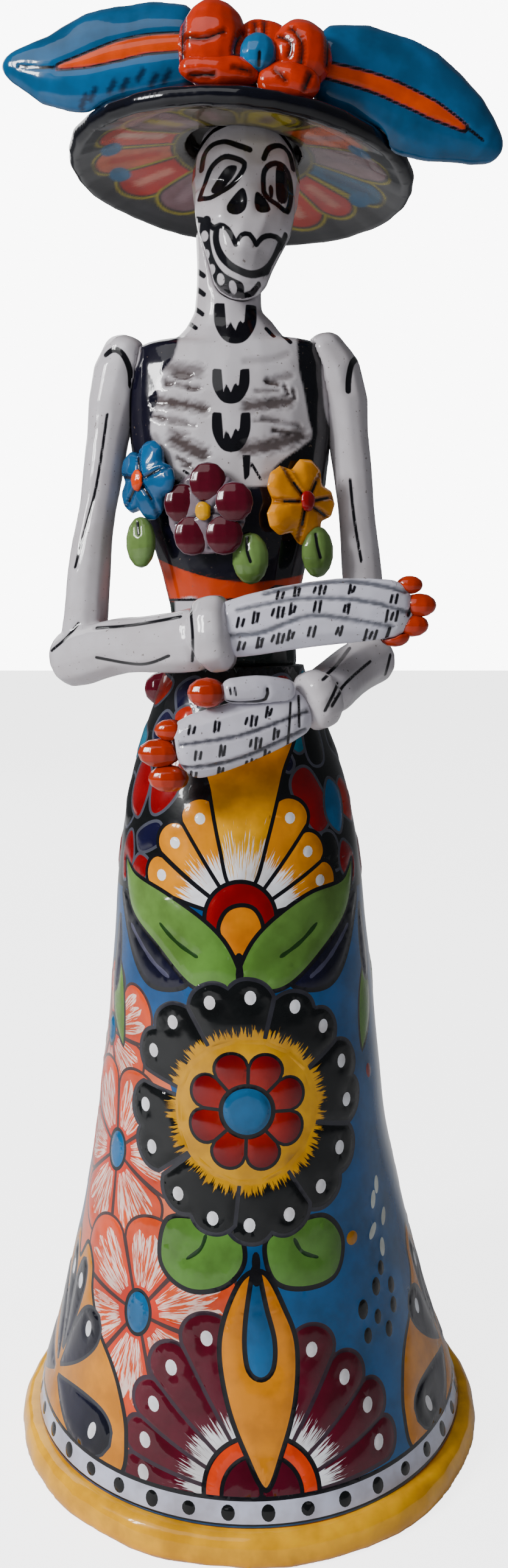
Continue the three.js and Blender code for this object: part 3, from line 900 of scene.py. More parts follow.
def paint_yellow_fan(canvas):
    """The yellow fan under the hands, with its red ring and its drop."""
    canvas.at(1, 205)
    petals = ((156, 10, 39), (134, 11, 41), (113, 10.5, 43), (20, 10, 39), (40, 10.5, 40), (60.5, 10.5, 45))
    for direction, half, reach in petals:
        glaze = paint((212, 146, 20), (208, 136, 12), BRIGHT_WHITE, start=25.5, spread=8, reach=reach)
        canvas.outlined(wedge(direction, half, 11.5, reach), glaze, 1.5)
        canvas.dot(polar(direction, reach - 7), 2.0)
    middle = blob((-3.5, 11), (-7, 24), (-10.5, 42), (-14, 66), (20, 66), (16.5, 48), (10, 26), (4.5, 11))
    glaze = paint((220, 180, 50), (212, 138, 16), BRIGHT_WHITE, start=29, spread=16, reach=56)
    canvas.outlined(middle, glaze, 1.5)
    canvas.outlined(oval((0, 0), 12.4, 12.4), paint((126, 16, 26)))
    drop = blob((-7.6, -3.5), (-5, 2.6), (0, 4.6), (5, 3), (7.6, -3.2), (4.5, -9), (0, -14), (-4.5, -9.5))
    canvas.outlined(drop, paint((206, 132, 8), (196, 120, 8), reach=8))


def paint_big_leaves(canvas):
    """Two pairs of leaves under the fan: green over navy."""
    canvas.at(0, 186)
    low = [(52, 23), (44, 4), (33, -6), (18, -3), (26, 11), (41, 19)]
    for side, sheer in ((-1, 0.0), (1, -2.0)):
        canvas.outlined(blob(*mirrored(low, side)), paint(NAVY, BLACK, reach=60), 1.8)
        canvas.stroke(mirrored([(45, 13), (33, 3), (25, -2)], side), 1.6, (70, 70, 88))
        blade = [(0, 2), (5, 12), (14, 20), (27, 26.5), (42, 31 + sheer), (49, 35), (45, 19), (30, 8 + sheer),
                 (17, -3.5), (8, -5), (1, -3)]
        canvas.outlined(blob(*mirrored(blade, side)), paint(GREEN, PALE_GREEN, reach=50), 1.6, 0.35)
        canvas.stroke(mirrored([(29, 16), (22, 10.5), (14, 6)], side), 1.4, VEIN)
    canvas.stroke([(0, 8), (0.2, 1), (0, -6)], 2.4)


def paint_great_flower(canvas, petals, ring, small, tip, heart, size=1.0):
    """The big daisy: lobed petals with two dots each, a brushed ring, and a small flower."""
    reaches = (45, 44, 45.5, 46, 45, 44, 45, 45)
    for direction, reach in zip((98, 53, 8, 323, 281, 241, 194, 143), reaches):
        glaze = paint(petals, None, ring, start=29.5 * size, spread=5, reach=30)
        outline = wedge(direction, 22.2, 24 * size, reach * size, 0.42, 2)
        canvas.outlined(outline, glaze, 1.5, 0.4, (44, 44, 50))
        for turn in (-10.5, 10.5):
            canvas.dot(polar(direction + turn, 38.3 * size), 2.0 * size, 2.4 * size)
    canvas.fill(oval((0, 0), 25.2 * size, 25.2 * size), paint(ring))
    for k in (7, 3, 1, 5, 0, 4, 2, 6):
        outline = wedge(k * 45 + 20, 22, 6 * size, 20.5 * size, 0.85)
        canvas.outlined(outline, paint(small, tip, reach=19 * size), 1.2, 0.5)
    canvas.outlined(oval((0, 0), 8.8 * size, 8.6 * size), paint(heart), 1.7, 0.7)


def paint_low_leaves(canvas):
    """Two round green leaves under the big flower."""
    canvas.at(0, 90)
    right = blob((-29, 1), (-26, 13), (-14, 15), (-2, 12), (1, 2), (-5, -6), (-16, -9), (-25, -6))
    left = blob((8, 7), (15, 12), (29, 13.5), (37, 4), (34, -7), (22, -9), (11, -5))
    for outline, vein in ((right, [(-12, 10), (-14, 5), (-19, 1)]), (left, [(18, 8), (21, 3), (27, 0)])):
        canvas.outlined(outline, paint((96, 132, 74), (86, 120, 64), reach=30), 1.8, 0.35)
        canvas.stroke(vein, 1.3, (30, 52, 28))


def paint_salmon_flower(canvas, size, turn):
    """A loose flower of brushed salmon petals round a blue eye."""
    for k, full in enumerate((34, 30, 32, 30, 33, 31)):
        direction, reach = 60 * k + turn, full * size
        glaze = paint((190, 50, 26), (206, 86, 60), reach=reach)
        canvas.outlined(wedge(direction, 29, 3 * size, reach, 0.6), glaze, 1.2, 0.3, (60, 40, 40))
        for aside in (-13, 1, 14):
            near, far = polar(direction + aside, 8 * size), polar(direction + aside, reach - 5 * size)
            canvas.fill(petal(near, far, 5.6 * size, 0.2), paint(**BRUSHED_SALMON))
    canvas.outlined(oval((0, 0), 4.8 * size, 6.6 * size), paint((44, 92, 134)), 1.4, 0.6)


def paint_fringe_fans(canvas, angle):
    """Burgundy fans either side of a yellow leaf at the bottom."""
    canvas.at(angle, 19.5)
    right = ((4, 6, 49), (18, 8, 50), (35, 9, 52), (53, 9.5, 56), (72, 10, 60))
    left = ((11, 8.5, 52), (28, 9, 53), (46, 9.5, 53), (66, 10, 56))
    for side, fan in ((-1, right), (1, left)):
        for direction, half, reach in fan:
            aim = direction if side > 0 else 180 - direction
            glaze = paint((84, 22, 38), (78, 16, 30), BRIGHT_WHITE, start=30, spread=9, reach=reach)
            canvas.outlined(wedge(aim, half, 14, reach, 0.8), glaze, 1.5, 0.35, (54, 38, 48))
            canvas.dot(polar(aim, reach - 8), 2.1, 2.5)
        canvas.outlined(wedge(90 - side * 48, 50, 3, 19.5, 0.05), paint((206, 72, 26)), 1.7)
        canvas.outlined(wedge(90 - side * 48, 52, 1, 13.5, 0.05), paint((70, 10, 26)), 1.5)


def paint_tall_leaf(canvas, angle):
    """A yellow leaf that splits round a blue drop, standing on the foot's band."""
    canvas.at(angle, 22)
    outline = blob((0, 0), (6, 11), (11.5, 27), (13, 44), (9, 57), (3, 68), (-4, 67), (-10, 56), (-13, 43),
                   (-11, 26), (-6, 11))
    canvas.outlined(outline, paint((204, 134, 8), (194, 124, 8), reach=70), 1.8, 0.4)
    drop = blob((0.5, 34), (4.5, 37), (5.5, 46), (3, 58), (0.6, 70), (-0.6, 70), (-3, 58), (-4.5, 46),
                (-3.6, 37))
    canvas.outlined(drop, paint((44, 98, 140), (34, 82, 126), reach=60), 1.8, 0.3)
    canvas.stroke([(0.2, 64), (0.2, 75)], 2.6)


def paint_butterfly(canvas, angle):
    """A yellow butterfly with navy teardrops in its wings, low on a side."""
    canvas.at(angle, 31)
    wing = [(0, 44), (6, 52), (13, 47), (16, 38), (24, 28), (34, 20), (41, 12), (48, 0), (50, -13),
            (30, -13.5)]
    outline = blob(*wing, (0, -13.5), *mirrored(wing[:0:-1], -1))
    canvas.outlined(outline, paint((204, 138, 8), (196, 128, 8), reach=50), 1.8, 0.3)
    for side in (-1, 1):
        for path, width in (([(3, -1), (43, -6)], 17), ([(2, 3), (23, 32)], 15), ([(0.5, 8), (7, 46)], 9)):
            start, end = np.array(mirrored(path, side))
            glaze = paint(NAVY, BLACK, reach=50)
            canvas.outlined(petal(start, end, width, 0.05, 0.72), glaze, 1.3, 0.45, (48, 50, 56))
            canvas.dot(start + 0.76 * (end - start), 1.9, 2.9)


def paint_blue_field(canvas):
    """The blue field at the viewer's right, with brushed dots."""
    field = canvas.wall.flat_blob((14, 196), (30, 170), (36, 140), (30, 104), (8, 84), (8, 22), (62, 22),
                                  (62, 70), (80, 110), (83, 160), (78, 200))
    canvas.whole()
    canvas.fill(field, paint((30, 92, 142), (24, 78, 126), reach=120))
    for angle, z, turn in ((54, 101, -20), (51, 91, -48), (54.6, 84, -15), (57.5, 105, -12), (59, 93, -30)):
        canvas.at(angle, z)
        canvas.dot((0, 0), 1.5, 3.2, (206, 212, 206), turn)
    dark = ((47.5, 73.3, 2.7), (55, 70.5, 2.5), (40.2, 68.4, 2.9), (45.7, 63.8, 2.2), (54, 64, 2.4),
            (49.5, 57.8, 2.4), (40.3, 59.6, 2.3), (51.5, 78, 2.2))
    for angle, z, radius in dark:
        canvas.at(angle, z)
        canvas.dot((0, 0), radius * 0.8, radius * 1.15, BLACK, -12)
    canvas.at(40.3, 92.5)
    canvas.dot((0, 0), 2.6, 2.4, (176, 124, 40))
    canvas.at(62, 145)
    canvas.dot((0, 0), 1.8, 2.6, (140, 40, 40))


FRONT_STONES = (  # (angle, height), (half width, half height), tilt, colour
    ((25, 266), (3.6, 6), 10, RED),
    ((35.5, 271), (4.6, 6.5), -20, BLACK),
    ((42, 263), (4, 4.4), 0, TEAL),
    ((31, 257), (3, 4.6), 20, NAVY),
    ((44, 243), (7, 11.5), 16, RED),
    ((56, 262), (5, 9), -8, BLACK),
    ((51, 225), (4.4, 7.5), 14, BLACK),
    ((60, 240), (5, 10), -6, (40, 96, 140)),
    ((63, 220), (5, 8), 8, RED),
    ((-43, 250), (6.4, 12.5), -14, RED),
    ((-30, 262), (4, 6), 10, NAVY),
    ((-49, 230), (7.5, 4.6), 24, NAVY),
    ((-54, 218), (4.6, 6.4), -24, RED),
    ((-63, 246), (5.4, 11), 6, RED),
    ((-56, 266), (5, 7), 0, NAVY),
    ((-66, 222), (4.6, 9), -8, RED),
    ((-40, 270), (4.6, 5), 0, RUST),
)
STONE_ROWS = ((220, 14, 9.5), (241, 12, 10), (262, 10, 9), (279, 9, 6.5))  # height, count, half height
STONE_COLORS = (RED, NAVY, RED, TEAL, BLACK, RUST, NAVY)
FRONT_ARC = 66  # the rows of stones leave this angle free either side of the front


def paint_stone(canvas, place, size, tilt, color, k):
    """One glazed stone of the mosaic, a little lumpy."""
    canvas.at(*place)
    lump = oval((0, 0), *size, tilt)
    lump += 0.08 * size[0] * np.sin(3 * np.linspace(0, 2 * math.pi, len(lump)) + k)[:, None]
    canvas.outlined(lump, paint(color), 1.2, 0.5, (74, 76, 86))


def paint_stones(canvas):
    """The mosaic of glazed stones round the hips, black between them."""
    for r, (z, count, tall) in enumerate(STONE_ROWS):
        half = float(canvas.wall.mean_at(z)) * math.pi / count - 0.8
        for i in range(count):
            angle = 360 / count * (i + 0.5) - 180
            if abs(angle) <= FRONT_ARC and z < STONE_ROWS[-1][0]:
                continue
            size = (half * (0.9 + 0.1 * math.sin(3.7 * i)), tall * (0.9 + 0.14 * math.sin(1.9 * i + r)))
            place = (angle, z + 1.5 * math.sin(5 * i + r))
            color = STONE_COLORS[(3 * i + 2 * r) % len(STONE_COLORS)]
            paint_stone(canvas, place, size, 16 * math.sin(2.3 * i + r), color, i)
    for k, stone in enumerate(FRONT_STONES):
        paint_stone(canvas, *stone, k)


def paint_side_leaves(canvas):
    """Small leaves and edge strips high on the sides."""
    for angle, z, side in ((-60, 168, -1), (62, 166, 1)):
        canvas.at(angle, z)
        blade = leaf((side * 6, 17), (-side * 3, -13), 11, side * 2)
        canvas.outlined(blade, paint(GREEN, (112, 140, 70), reach=20), 1.4)
    for angle, z in ((-70, 186), (71, 190)):
        canvas.at(angle, z)
        canvas.outlined(petal((0, 14), (0, -14), 7, 0.2), paint(NAVY), 1.4)


def paint_back(canvas):
    """The unseen back: a second great flower each side of the join, and leaves."""
    for side in (-1, 1):
        canvas.at(side * 132, 146)
        paint_great_flower(canvas, NAVY, (222, 170, 60), (206, 72, 30), (150, 24, 34), TEAL, 0.72)
        canvas.at(side * 132, 190)
        for aim in (-1, 1):
            blade = leaf((aim * 2, -8), (aim * 30, 15), 15, aim * 4)
            canvas.outlined(blade, paint(GREEN, (98, 138, 62), reach=40), 1.5, 0.35)
            canvas.stroke([(aim * 8, -3), (aim * 18, 4.5), (aim * 24, 9.5)], 1.2, VEIN)
        flowers = ((160, 84, 0.5), (104, 94, 0.55), (162, 178, 0.42), (150, 108, 0.36), (171, 46, 0.34))
        for angle, z, size in flowers:
            canvas.at(side * angle, z)
            paint_salmon_flower(canvas, size, 20 + angle)
        leaves = ((101, 142, 14), (100, 172, -12), (163, 138, -10), (140, 96, 12), (174, 112, -8))
        for angle, z, lean in leaves:
            canvas.at(side * angle, z)
            blade = leaf((0, -11), (lean, 12), 9, 2)
            canvas.outlined(blade, paint(GREEN, PALE_GREEN, reach=20), 1.4, 0.35)


def paint_salmon_field(canvas):
    """The salmon flowers at the viewer's left, on a brushed ground."""
    field = canvas.wall.flat_blob((-78, 155), (-30, 150), (-14, 60), (-20, 20), (-66, 20), (-76, 80))
    canvas.whole()
    canvas.fill(field, paint((198, 74, 42), (214, 112, 84), reach=90))
    for angle, z, size, turn in ((-70, 158, 0.85, 30), (-54, 119, 1.05, 8), (-34, 70, 1.1, 22)):
        canvas.at(angle, z)
        paint_salmon_flower(canvas, size, turn)


def painted_skirt(wall):
    """The whole painting, from the grounds up to the foot's band."""
    canvas = Canvas(wall, paint((28, 82, 130), (22, 66, 112), reach=200))
    canvas.band(210, 300, BLACK)
    for part in (paint_blue_field, paint_salmon_field, paint_stones, paint_side_leaves, paint_back):
        part(canvas)
    for angle in (3.5, 127, -126):
        paint_fringe_fans(canvas, angle)
    for angle in (-70, 84):
        paint_butterfly(canvas, angle)
    paint_low_leaves(canvas)
    for angle in (4.5, 128, -125):
        paint_tall_leaf(canvas, angle)
    paint_yellow_fan(canvas)
    paint_big_leaves(canvas)
    canvas.at(2.4, 141)
    paint_great_flower(canvas, BLACK, (200, 150, 36), (176, 52, 26), (96, 14, 22), (40, 86, 124))
    paint_foot_band(canvas)
    return canvas


def make_skirt():
    wall = Wall("skirt_shell", SKIRT_LOW, SKIRT_HIGH, skirt_axis)
    rings = [(wall.mean[0] - 4, SKIRT_LOW + 0.2), (56, 60), (48, 120), (41, 190), (33, 240), (18, 262)]
    piece = painted_wall("skirt_shell_glazed", painted_skirt(wall), 3.0, rings, BLACK)
    dress(piece, PAINTED, "figure", "painted_skirt", "skirt_shell")


# ---- the foot ----


def make_foot():
    """The rolled yellow foot, bare clay where it stands."""
    form = Form("skirt_foot_glazed", ("skirt_foot",), 1.3, 6)
    form.move(waves(form.points, 0.35, 22.0))
    form.tint((240, 180, 18))
    z = form.points[:, 2]
    form.tint((220, 154, 14), np.clip((5 - z) / 8, 0, 0.5))
    form.tint(CLAY, (1.6 - z) / 0.6)
    form.finish(PAINTED, "figure", "yellow_glaze")


# ---- torso and neck ----

RIB_GREY = (78, 70, 70)
SPINE_GREY = (60, 60, 66)
BODICE = (13, 12, 24)
BELT = (182, 68, 28)
WAIST = (18, 28, 24)
WAIST_PATCH = (204, 200, 206)
LEFT_STRAP, RIGHT_STRAP = (14, 15, 20), (16, 15, 28)
TORSO_OVERLAP = 6.0  # the torso's foot, sunk into the skirt
RIBS = (  # (path, width, strength)
    ([(-24.3, 14.9), (-16.3, 13.6), (-8.3, 11.6)], 3.6, 1.0),
    ([(-18.3, 1.9), (-13.3, -0.9), (-8.9, -2.9)], 5.0, 1.0),
    ([(-19.3, 25.6), (-10.3, 24.1)], 4.5, 0.75),
    ([(-21.3, 21.6), (-15.3, 19.6), (-9.8, 18.6)], 1.8, 0.8),
    ([(-23.3, 9.1), (-18.3, 8.6), (-14.3, 7.6)], 1.8, 0.7),
    ([(6.4, 12.6), (13.7, 13.6), (20.3, 14.6)], 3.8, 0.95),
    ([(5.7, -1.4), (15.7, 0.1), (24.2, 3.6)], 4.6, 0.95),
    ([(13.7, 21.1), (20.7, 23.3)], 2.4, 0.6),
    ([(11.7, 8.9), (17.7, 7.6), (23.7, 6.8)], 1.8, 0.6),
    ([(5.7, 27.6), (14.7, 28.6), (19.7, 30.6)], 2.4, 0.35),
    ([(-20.3, 5.6), (-13.3, 3.6)], 1.2, 0.5),
    ([(-21.3, 20.6), (-19.9, 20.2)], 1.6, 1.0),
    ([(-13.7, 19), (-10.7, 18.4)], 1.3, 1.0),
    ([(-25.3, 10.2), (-22.3, 9.4)], 1.5, 1.0),
    ([(-17.3, 23.4), (-13.7, 22.8)], 3.0, 0.9),
    ([(-20.3, 7.6), (-11.3, 6.2)], 1.2, 0.7),
    ([(-17.3, -4), (-13.3, -6.4)], 1.5, 1.0),
    ([(-15.9, -6.4), (-11.9, -8)], 1.2, 0.9),
    ([(9.1, 17.6), (16.7, 18)], 1.2, 0.7),
    ([(12.7, 21), (16.5, 20.2)], 1.6, 1.0),
    ([(18.7, 20), (19.9, 17.4)], 1.2, 1.0),
    ([(21.7, 18.6), (22.3, 16.2)], 1.2, 0.9),
    ([(15.1, 5), (20.7, 4.2)], 1.4, 1.0),
    ([(8.7, 7.8), (16.7, 8.2)], 1.2, 0.6),
)


def cup(centre, top, width, height):
    """A vertebra's mark: a U whose inner edge is ragged."""
    size = (width / 2, height)
    bowl = [(-1, 0), (-0.98, -0.5), (-0.55, -0.9), (0, -1), (0.55, -0.9), (0.98, -0.5), (1, 0)]
    ragged = [(0.5, -0.02), (0.42, -0.5), (0.2, -0.4), (0, -0.68), (-0.24, -0.42), (-0.4, -0.66),
              (-0.5, -0.02)]
    return np.concatenate([curve(np.array(bowl) * size), np.array(ragged) * size]) + (centre, top)


def dress_bands(form):
    """The bodice, the orange belt and the dark waist, right round the body."""
    x, y, z = (form.points - form.middle).T
    top = -13.4 + 5 * (np.abs(x - 1.7) / 24) ** 3 + 7 * (1 - np.clip(-y / 12, 0, 1))
    belt_top = -44.9 + 5.5 * ((x - 6.7) / 26) ** 2
    belt_foot = -51.4 + 4.5 * np.clip((x - 7.7) / 8, 0, 1)
    for edge, color in ((top, BODICE), (belt_top, BELT), (belt_foot, WAIST)):
        form.tint(color, (edge - z) / 0.8)
    away = np.minimum(np.abs(z - belt_top), np.abs(z - belt_foot))
    form.ink = np.maximum(form.ink, LINE - away + 0.5)
    form.shape([(-19.3, -51.4), (-13.3, -50.4), (-8.3, -51.9), (-10.3, -57.4), (-19.3, -56.4)], WAIST_PATCH)


def paint_chest(form):
    """Pressed grey ribs, short ink lines at the breastbone, and the rib cage's lower edge."""
    for path, width, strength in RIBS:
        form.smudge(path, width, RIB_GREY, strength, 0.8)
    short = ([(-15.3, -8.4), (-12.3, -10.4)], [(-7.3, -10.4), (-6.3, -14.4)], [(7.7, -6.4), (10.7, -11.4)])
    for path in short:
        form.line(path, 1.0)
    edges = ([(-25.3, 3.6), (-18.8, -8.4), (-13.3, -13.4)], [(27.7, 3.6), (22.7, -4.4), (11.7, -10.4)])
    for path in edges:
        form.smudge(path, 2.2, RIB_GREY, 0.5)


def paint_straps(form):
    """The dark straps and the sides of the bodice, front and back."""
    right = blob((-17.7, 40.6), (-18.1, 30.6), (-22.3, 24.8), (-24.9, 20.6), (-23.9, 16.6), (-26.3, 9.6),
                 (-26.3, 3.6), (-20.3, -7.4), (-26.3, -14.4), (-39.3, -12.4), (-39.3, 17.6), (-31.3, 28.6),
                 (-29.3, 40.6))
    left = blob((23.7, 40.6), (23.4, 26.9), (25.1, 19), (26.9, 9.6), (28.2, 3.6), (24.7, 0.1), (14.7, -8.4),
                (20.7, -15.4), (40.7, -15.4), (40.7, -0.4), (33.7, 9.6), (31.7, 23.6), (31.3, 40.6))
    for view in (FRONT, BACK):
        form.shape(right, RIGHT_STRAP, view=view)
        form.shape(left, LEFT_STRAP, view=view)


def paint_spine(form):
    """Vertebra marks down the front, ticks on the neck, and the spine and ribs at the back."""
    for mark in ((0.7, 25.0, 12.4, 11.8), (0.8, 10.6, 12.8, 13.2), (2.1, 47.4, 14.2, 14)):
        form.shape(cup(*mark))
    form.shape([(4.5, -3.4), (7.3, -3.4), (6.9, -10.4), (5.1, -12)])
    ticks = ((-9.7, 57.8), (-9.7, 51.8), (-10.2, 45.3), (-12.5, 40.7), (13.8, 38), (19.4, 35.8), (-2.3, 64.6))
    for x, z in ticks:
        form.line([(x - 1.2, z + 1.4), (x + 1.3, z - 1.2)], 1.5)
    for z in np.arange(1.6, 31, 8.5):
        form.smudge([(0.7, z), (0.7, z - 5)], 4.2, SPINE_GREY, 0.9, 0.4, BACK)
        for side in (-1, 1):
            form.smudge([(0.7 + side * 5, z - 3), (0.7 + side * 15, z + 1)], 2.4, RIB_GREY, 0.8, 0.6, BACK)


def make_torso():
    """Torso and neck in one piece, its foot pushed down into the skirt."""
    form = Form("torso_neck", ("torso", "neck"), 0.8, 8)
    sunk = box_of("torso")[0][2] + TORSO_OVERLAP - form.points[:, 2]
    form.points[:, 2] -= np.clip(sunk, 0, None) * 0.6
    form.write()
    form.move(waves(form.points, 0.2, 20.0))
    paint_chest(form)
    dress_bands(form)
    paint_straps(form)
    paint_spine(form)
    form.finish(WHITE_GLAZE, "figure", "painted_torso")


# ---- the skull ----

RIGHT_EYE = [(-15.4, -0.4), (-13.4, 4.4), (-10.8, 8.8), (-6.6, 10.6), (-1.4, 9), (-0.4, 6.8), (-4.6, 2.2),
            (-11.6, -1.2), (-15.4, -0.4)]
LEFT_EYE = [(6, 0.2), (6.2, 6.2), (10, 9.4), (13.9, 8), (15.2, 2.2), (13.8, -4.8), (10.2, -3.2),
             (7.4, -1.8), (6, 0.2)]
SKULL_SHAPE = (  # (place, reach, height)
    ((-2.5, -18.3), (11, 7.5), 1.5),
    ((-8, 3.2), (6.5, 5.5), -1.5),
    ((10, 1.7), (5.5, 6.5), -1.4),
    ((-2.8, -3.8), (3.6, 4.2), -1.2),
    ((5.4, -4.2), (3.0, 3.6), -1.2),
    ((-9, -8.3), (5, 3.5), 0.9),
    ((-8, 13.2), (8, 3), 0.5),
)
SKULL_LINES = (  # (path, width, depth)
    (RIGHT_EYE, 1.7, 0.35),
    (LEFT_EYE, 1.7, 0.35),
    ([(-14.6, 8.8), (-13.6, 13.2), (-10.4, 15.6), (-6.4, 15.4), (-2, 13.6), (1.4, 12.4)], 1.9, 0.25),
    ([(6, 10), (7.6, 13.4), (11.2, 15.4), (14.4, 14.2), (15.8, 9.8)], 1.8, 0.25),
    ([(-16.4, -6.4), (-13.4, -8.4), (-10.6, -11.2), (-8.6, -10.8), (-5.8, -12.2), (-3.2, -17.2)], 1.7, 0.3),
    ([(-3.2, -17.2), (-1.4, -14.4), (1.4, -14), (3.6, -17)], 1.6, 0.3),
    ([(3.6, -17), (5.6, -14.6), (8.4, -13.4), (11.8, -13.8)], 1.6, 0.3),
    ([(-9.6, -11.4), (-9.8, -15.4), (-8, -20.2), (-4, -24), (1.8, -25.8), (6.8, -23.6), (9.8, -19.4),
      (11.8, -14.8)], 2.2, 0.35),
    ([(-13.2, -8.8), (-13.6, -14.4), (-11.9, -21.4), (-8, -26.8), (-2.4, -29.6)], 3.9, 0.1),
)
SKULL_HOLES = (
    [(-11.4, 0.8), (-9, 4.8), (-5.8, 7.6), (-2.8, 7.4), (-3.4, 5.2), (-6, 2.6), (-8.4, 0.2)],
    [(10.2, 8.6), (13.6, 6.8), (14.2, 1.2), (12.8, -2.8), (10.4, -2), (9.8, 2.2)],
    [(-0.7, 0.8), (-3.4, -1), (-6.1, -4.8), (-5.4, -7.2), (-2.6, -7.8), (-0.2, -6.4), (0.6, -2.8)],
    [(3.6, -0.2), (2.9, -3.8), (3.8, -6.4), (6.2, -6.8), (8.2, -5.6), (6.6, -2.4)],
)
TEETH = ((-13.5, -12.4), (-13.2, -17.6), (-11.3, -22.6), (-8.2, -26.4), (-4.2, -28.9))
HAIRLINE = [(-17.4, 8.2), (-16.6, 14.8), (-12, 19.8), (-5, 21.8), (4, 21.9), (11, 20.2), (16, 15.2),
            (17.6, 8.2)]


def mound(form, centre, reach, height):
    """Raises or sinks a soft oval area of the front."""
    away = (form.seen(FRONT) - centre) / reach
    form.move(height * np.exp(-(away**2).sum(1) * 1.4) * np.clip(form.normals @ FRONT.facing, 0, 1))


def make_skull():
    """A painted calavera: black eye holes, nose, grin and a row of teeth along the jaw."""
    form = Form("skull_glazed", ("skull",), 0.55, 10)
    for place, reach, height in SKULL_SHAPE:
        mound(form, place, reach, height)
    for path, width, depth in SKULL_LINES:
        form.line(path, width, depth)
    for hole in SKULL_HOLES:
        form.shape(blob(*hole))
    form.shape(petal((8.4, -1.4), (8.2, 2.8), 1.6, 0.6))
    for tooth in TEETH:
        form.clear(oval(tooth, 1.15, 1.7, 30))
    form.line([(-10.6, -27.4), (-7, -30.2), (-2.8, -31.2), (1.8, -30.2), (4.4, -27.8)], 1.4)
    form.line([(13.2, -11.8), (11.6, -15.4)], 1.5)
    # painted shade: a grey smear on the lower part of the mouth's bulge
    form.smudge([(-3, -20.8), (5, -21.8)], 6, (150, 146, 148), 0.5)
    form.line(HAIRLINE, 1.6, 0.0, View((1, 0, 0), (0, 0, 1), (0, -1, 0), least=-0.35))
    form.tint(INK, (form.points[:, 2] - form.middle[2] - 22.7) / 1.2)
    for side in (-1, 1):
        way = View((0, 1, 0), (0, 0, 1), (side, 0, 0), least=0.5)
        for z in (2.2, -4.8, -11.8):
            form.line([(3.4, z), (9.4, z - 2), (13.4, z)], 1.0, 0.0, way)
    form.finish(WHITE_GLAZE, "figure", "white_glaze")


# ---- arms and hands ----

ARM_LINES = {  # the shoulder's line first
    "right": (
        [(-12.4, 52.9), (-9.4, 54.3), (-6.2, 52.3), (-4, 47.7), (-3.6, 42.3)],
        [(-12, 32.7), (-15.7, 10.3), (-19.6, -4.3), (-23.8, -19.3)],
        [(-32.4, -47.9), (-27.4, -43.9), (-22.4, -38.3)],
        [(-15.3, -49.9), (0.6, -51.9), (10.6, -48.7)],
        [(-15.4, -39.8), (-1.8, -38.7), (14.6, -35.9)],
        [(18, -33.3), (18.8, -42.3), (18.4, -50.3)],
    ),
    "left": (
        [(10.8, 58.4), (6.6, 59.8), (2.8, 56.2), (1.4, 50.8), (1.2, 46.4)],
        [(2, 16.8), (3.6, 2.8), (6, -11.2)],
        [(11.8, 36.8), (13.6, 18.8), (15.6, -3.2)],
        [(-8.8, -50.1), (-3.4, -45.6), (1.7, -40.6)],
        [(-5.8, -58.6), (-0.8, -51.8), (8.7, -45.2)],
        [(16.6, -43.2), (14.8, -50.2)],
        [(-3.8, -51.6), (-8.2, -60.2)],
    ),
}
RIGHT_HAND = (206, 205, 216)
# painted shade: the left hand's white is darker than the right hand's, as it lies below the right arm
SHADED_LEFT_HAND = (196, 194, 204)
GROOVES = {
    "right": (
        [(-29.1, -5.5), (-18.8, -4.7), (-10.2, -1.4), (-2.4, 0.9), (8.5, -0.1), (23.5, -2.7)],
        [(-25.9, 2.7), (-14.9, 4.9), (-7.1, 6.1), (4.5, 6.3), (16.5, 5.1), (28.5, 1.9)],
        [(-17.3, 7.9), (-10.2, 9.7), (-0.8, 11.3), (10.3, 11.7), (20.5, 10.3), (27.5, 8.3)],
    ),
    "left": (
        [(-19.9, -3.3), (-7.7, -1.5), (1.8, 0.5), (11.4, 3.9), (21.1, 7.3)],
        [(-22.9, -11.3), (-10.2, -10.1), (0.2, -7.5), (9.8, -3.5), (20.5, 1.3)],
    ),
}
TICKS = {  # (places, height, lean) of each row
    "right": (
        (
            ((-24.8, -8.7), (-18.8, -7.7), (-14, -6.3), (-9, -5.3), (-2.5, -4.1), (6.3, -3.9), (15.5, -5.3)),
            3.4,
            0.35,
        ),
        (
            ((-25.1, -1.3), (-20.1, 0.3), (-14, 1.9), (-8.5, 2.9), (-0.8, 3.7), (8.5, 3.1), (22.1, 0.7)),
            3.6,
            0.3,
        ),
        (((-12.5, 7.3), (-7.1, 8.3), (-0.8, 8.9), (10.2, 9.1), (23.5, 6.1)), 2.8, 0.3),
    ),
    "left": (
        (((-16.2, 1.5), (-7.9, 2.7), (2.2, 4.5), (8.7, 7.3)), 3.4, 0.25),
        (((-14.2, -6.7), (-6.2, -5.1), (3.6, -2.7), (11.1, 0.3)), 3.8, 0.2),
        (((-15.9, -13.5), (-6.9, -12.3), (2.1, -9.7), (8.1, -6.7)), 3.2, 0.2),
    ),
}


def make_arms():
    """Each arm in one piece down to its cuff, with the lines of its bones."""
    for side, lines in ARM_LINES.items():
        nodes = [f"{side}_{part}" for part in ("upper_arm", "forearm", "wrist_cuff")]
        form = Form(side + "_arm", nodes, 0.8, 8)
        form.move(0.7 + waves(form.points, 0.25, 16.0))
        form.line(lines[0], 2.1, 0.4)
        for path in lines[1:]:
            form.line(path, 1.1, 0.25)
        form.finish(WHITE_GLAZE, "figure", "white_glaze")


def tick_marks(form, places, height, lean):
    """Pairs of short dark strokes across a finger."""
    for k, (x, z) in enumerate(places):
        for j in range(3 if k % 4 == 2 else 2):
            at = x + 1.5 * (j - 0.5) + 0.2 * math.sin(3.1 * k + j)
            tall = height * (0.8 + 0.25 * math.sin(2.3 * k + 4 * j))
            form.line([(at - lean, z - tall / 2), (at + lean, z + tall / 2)], 1.0)


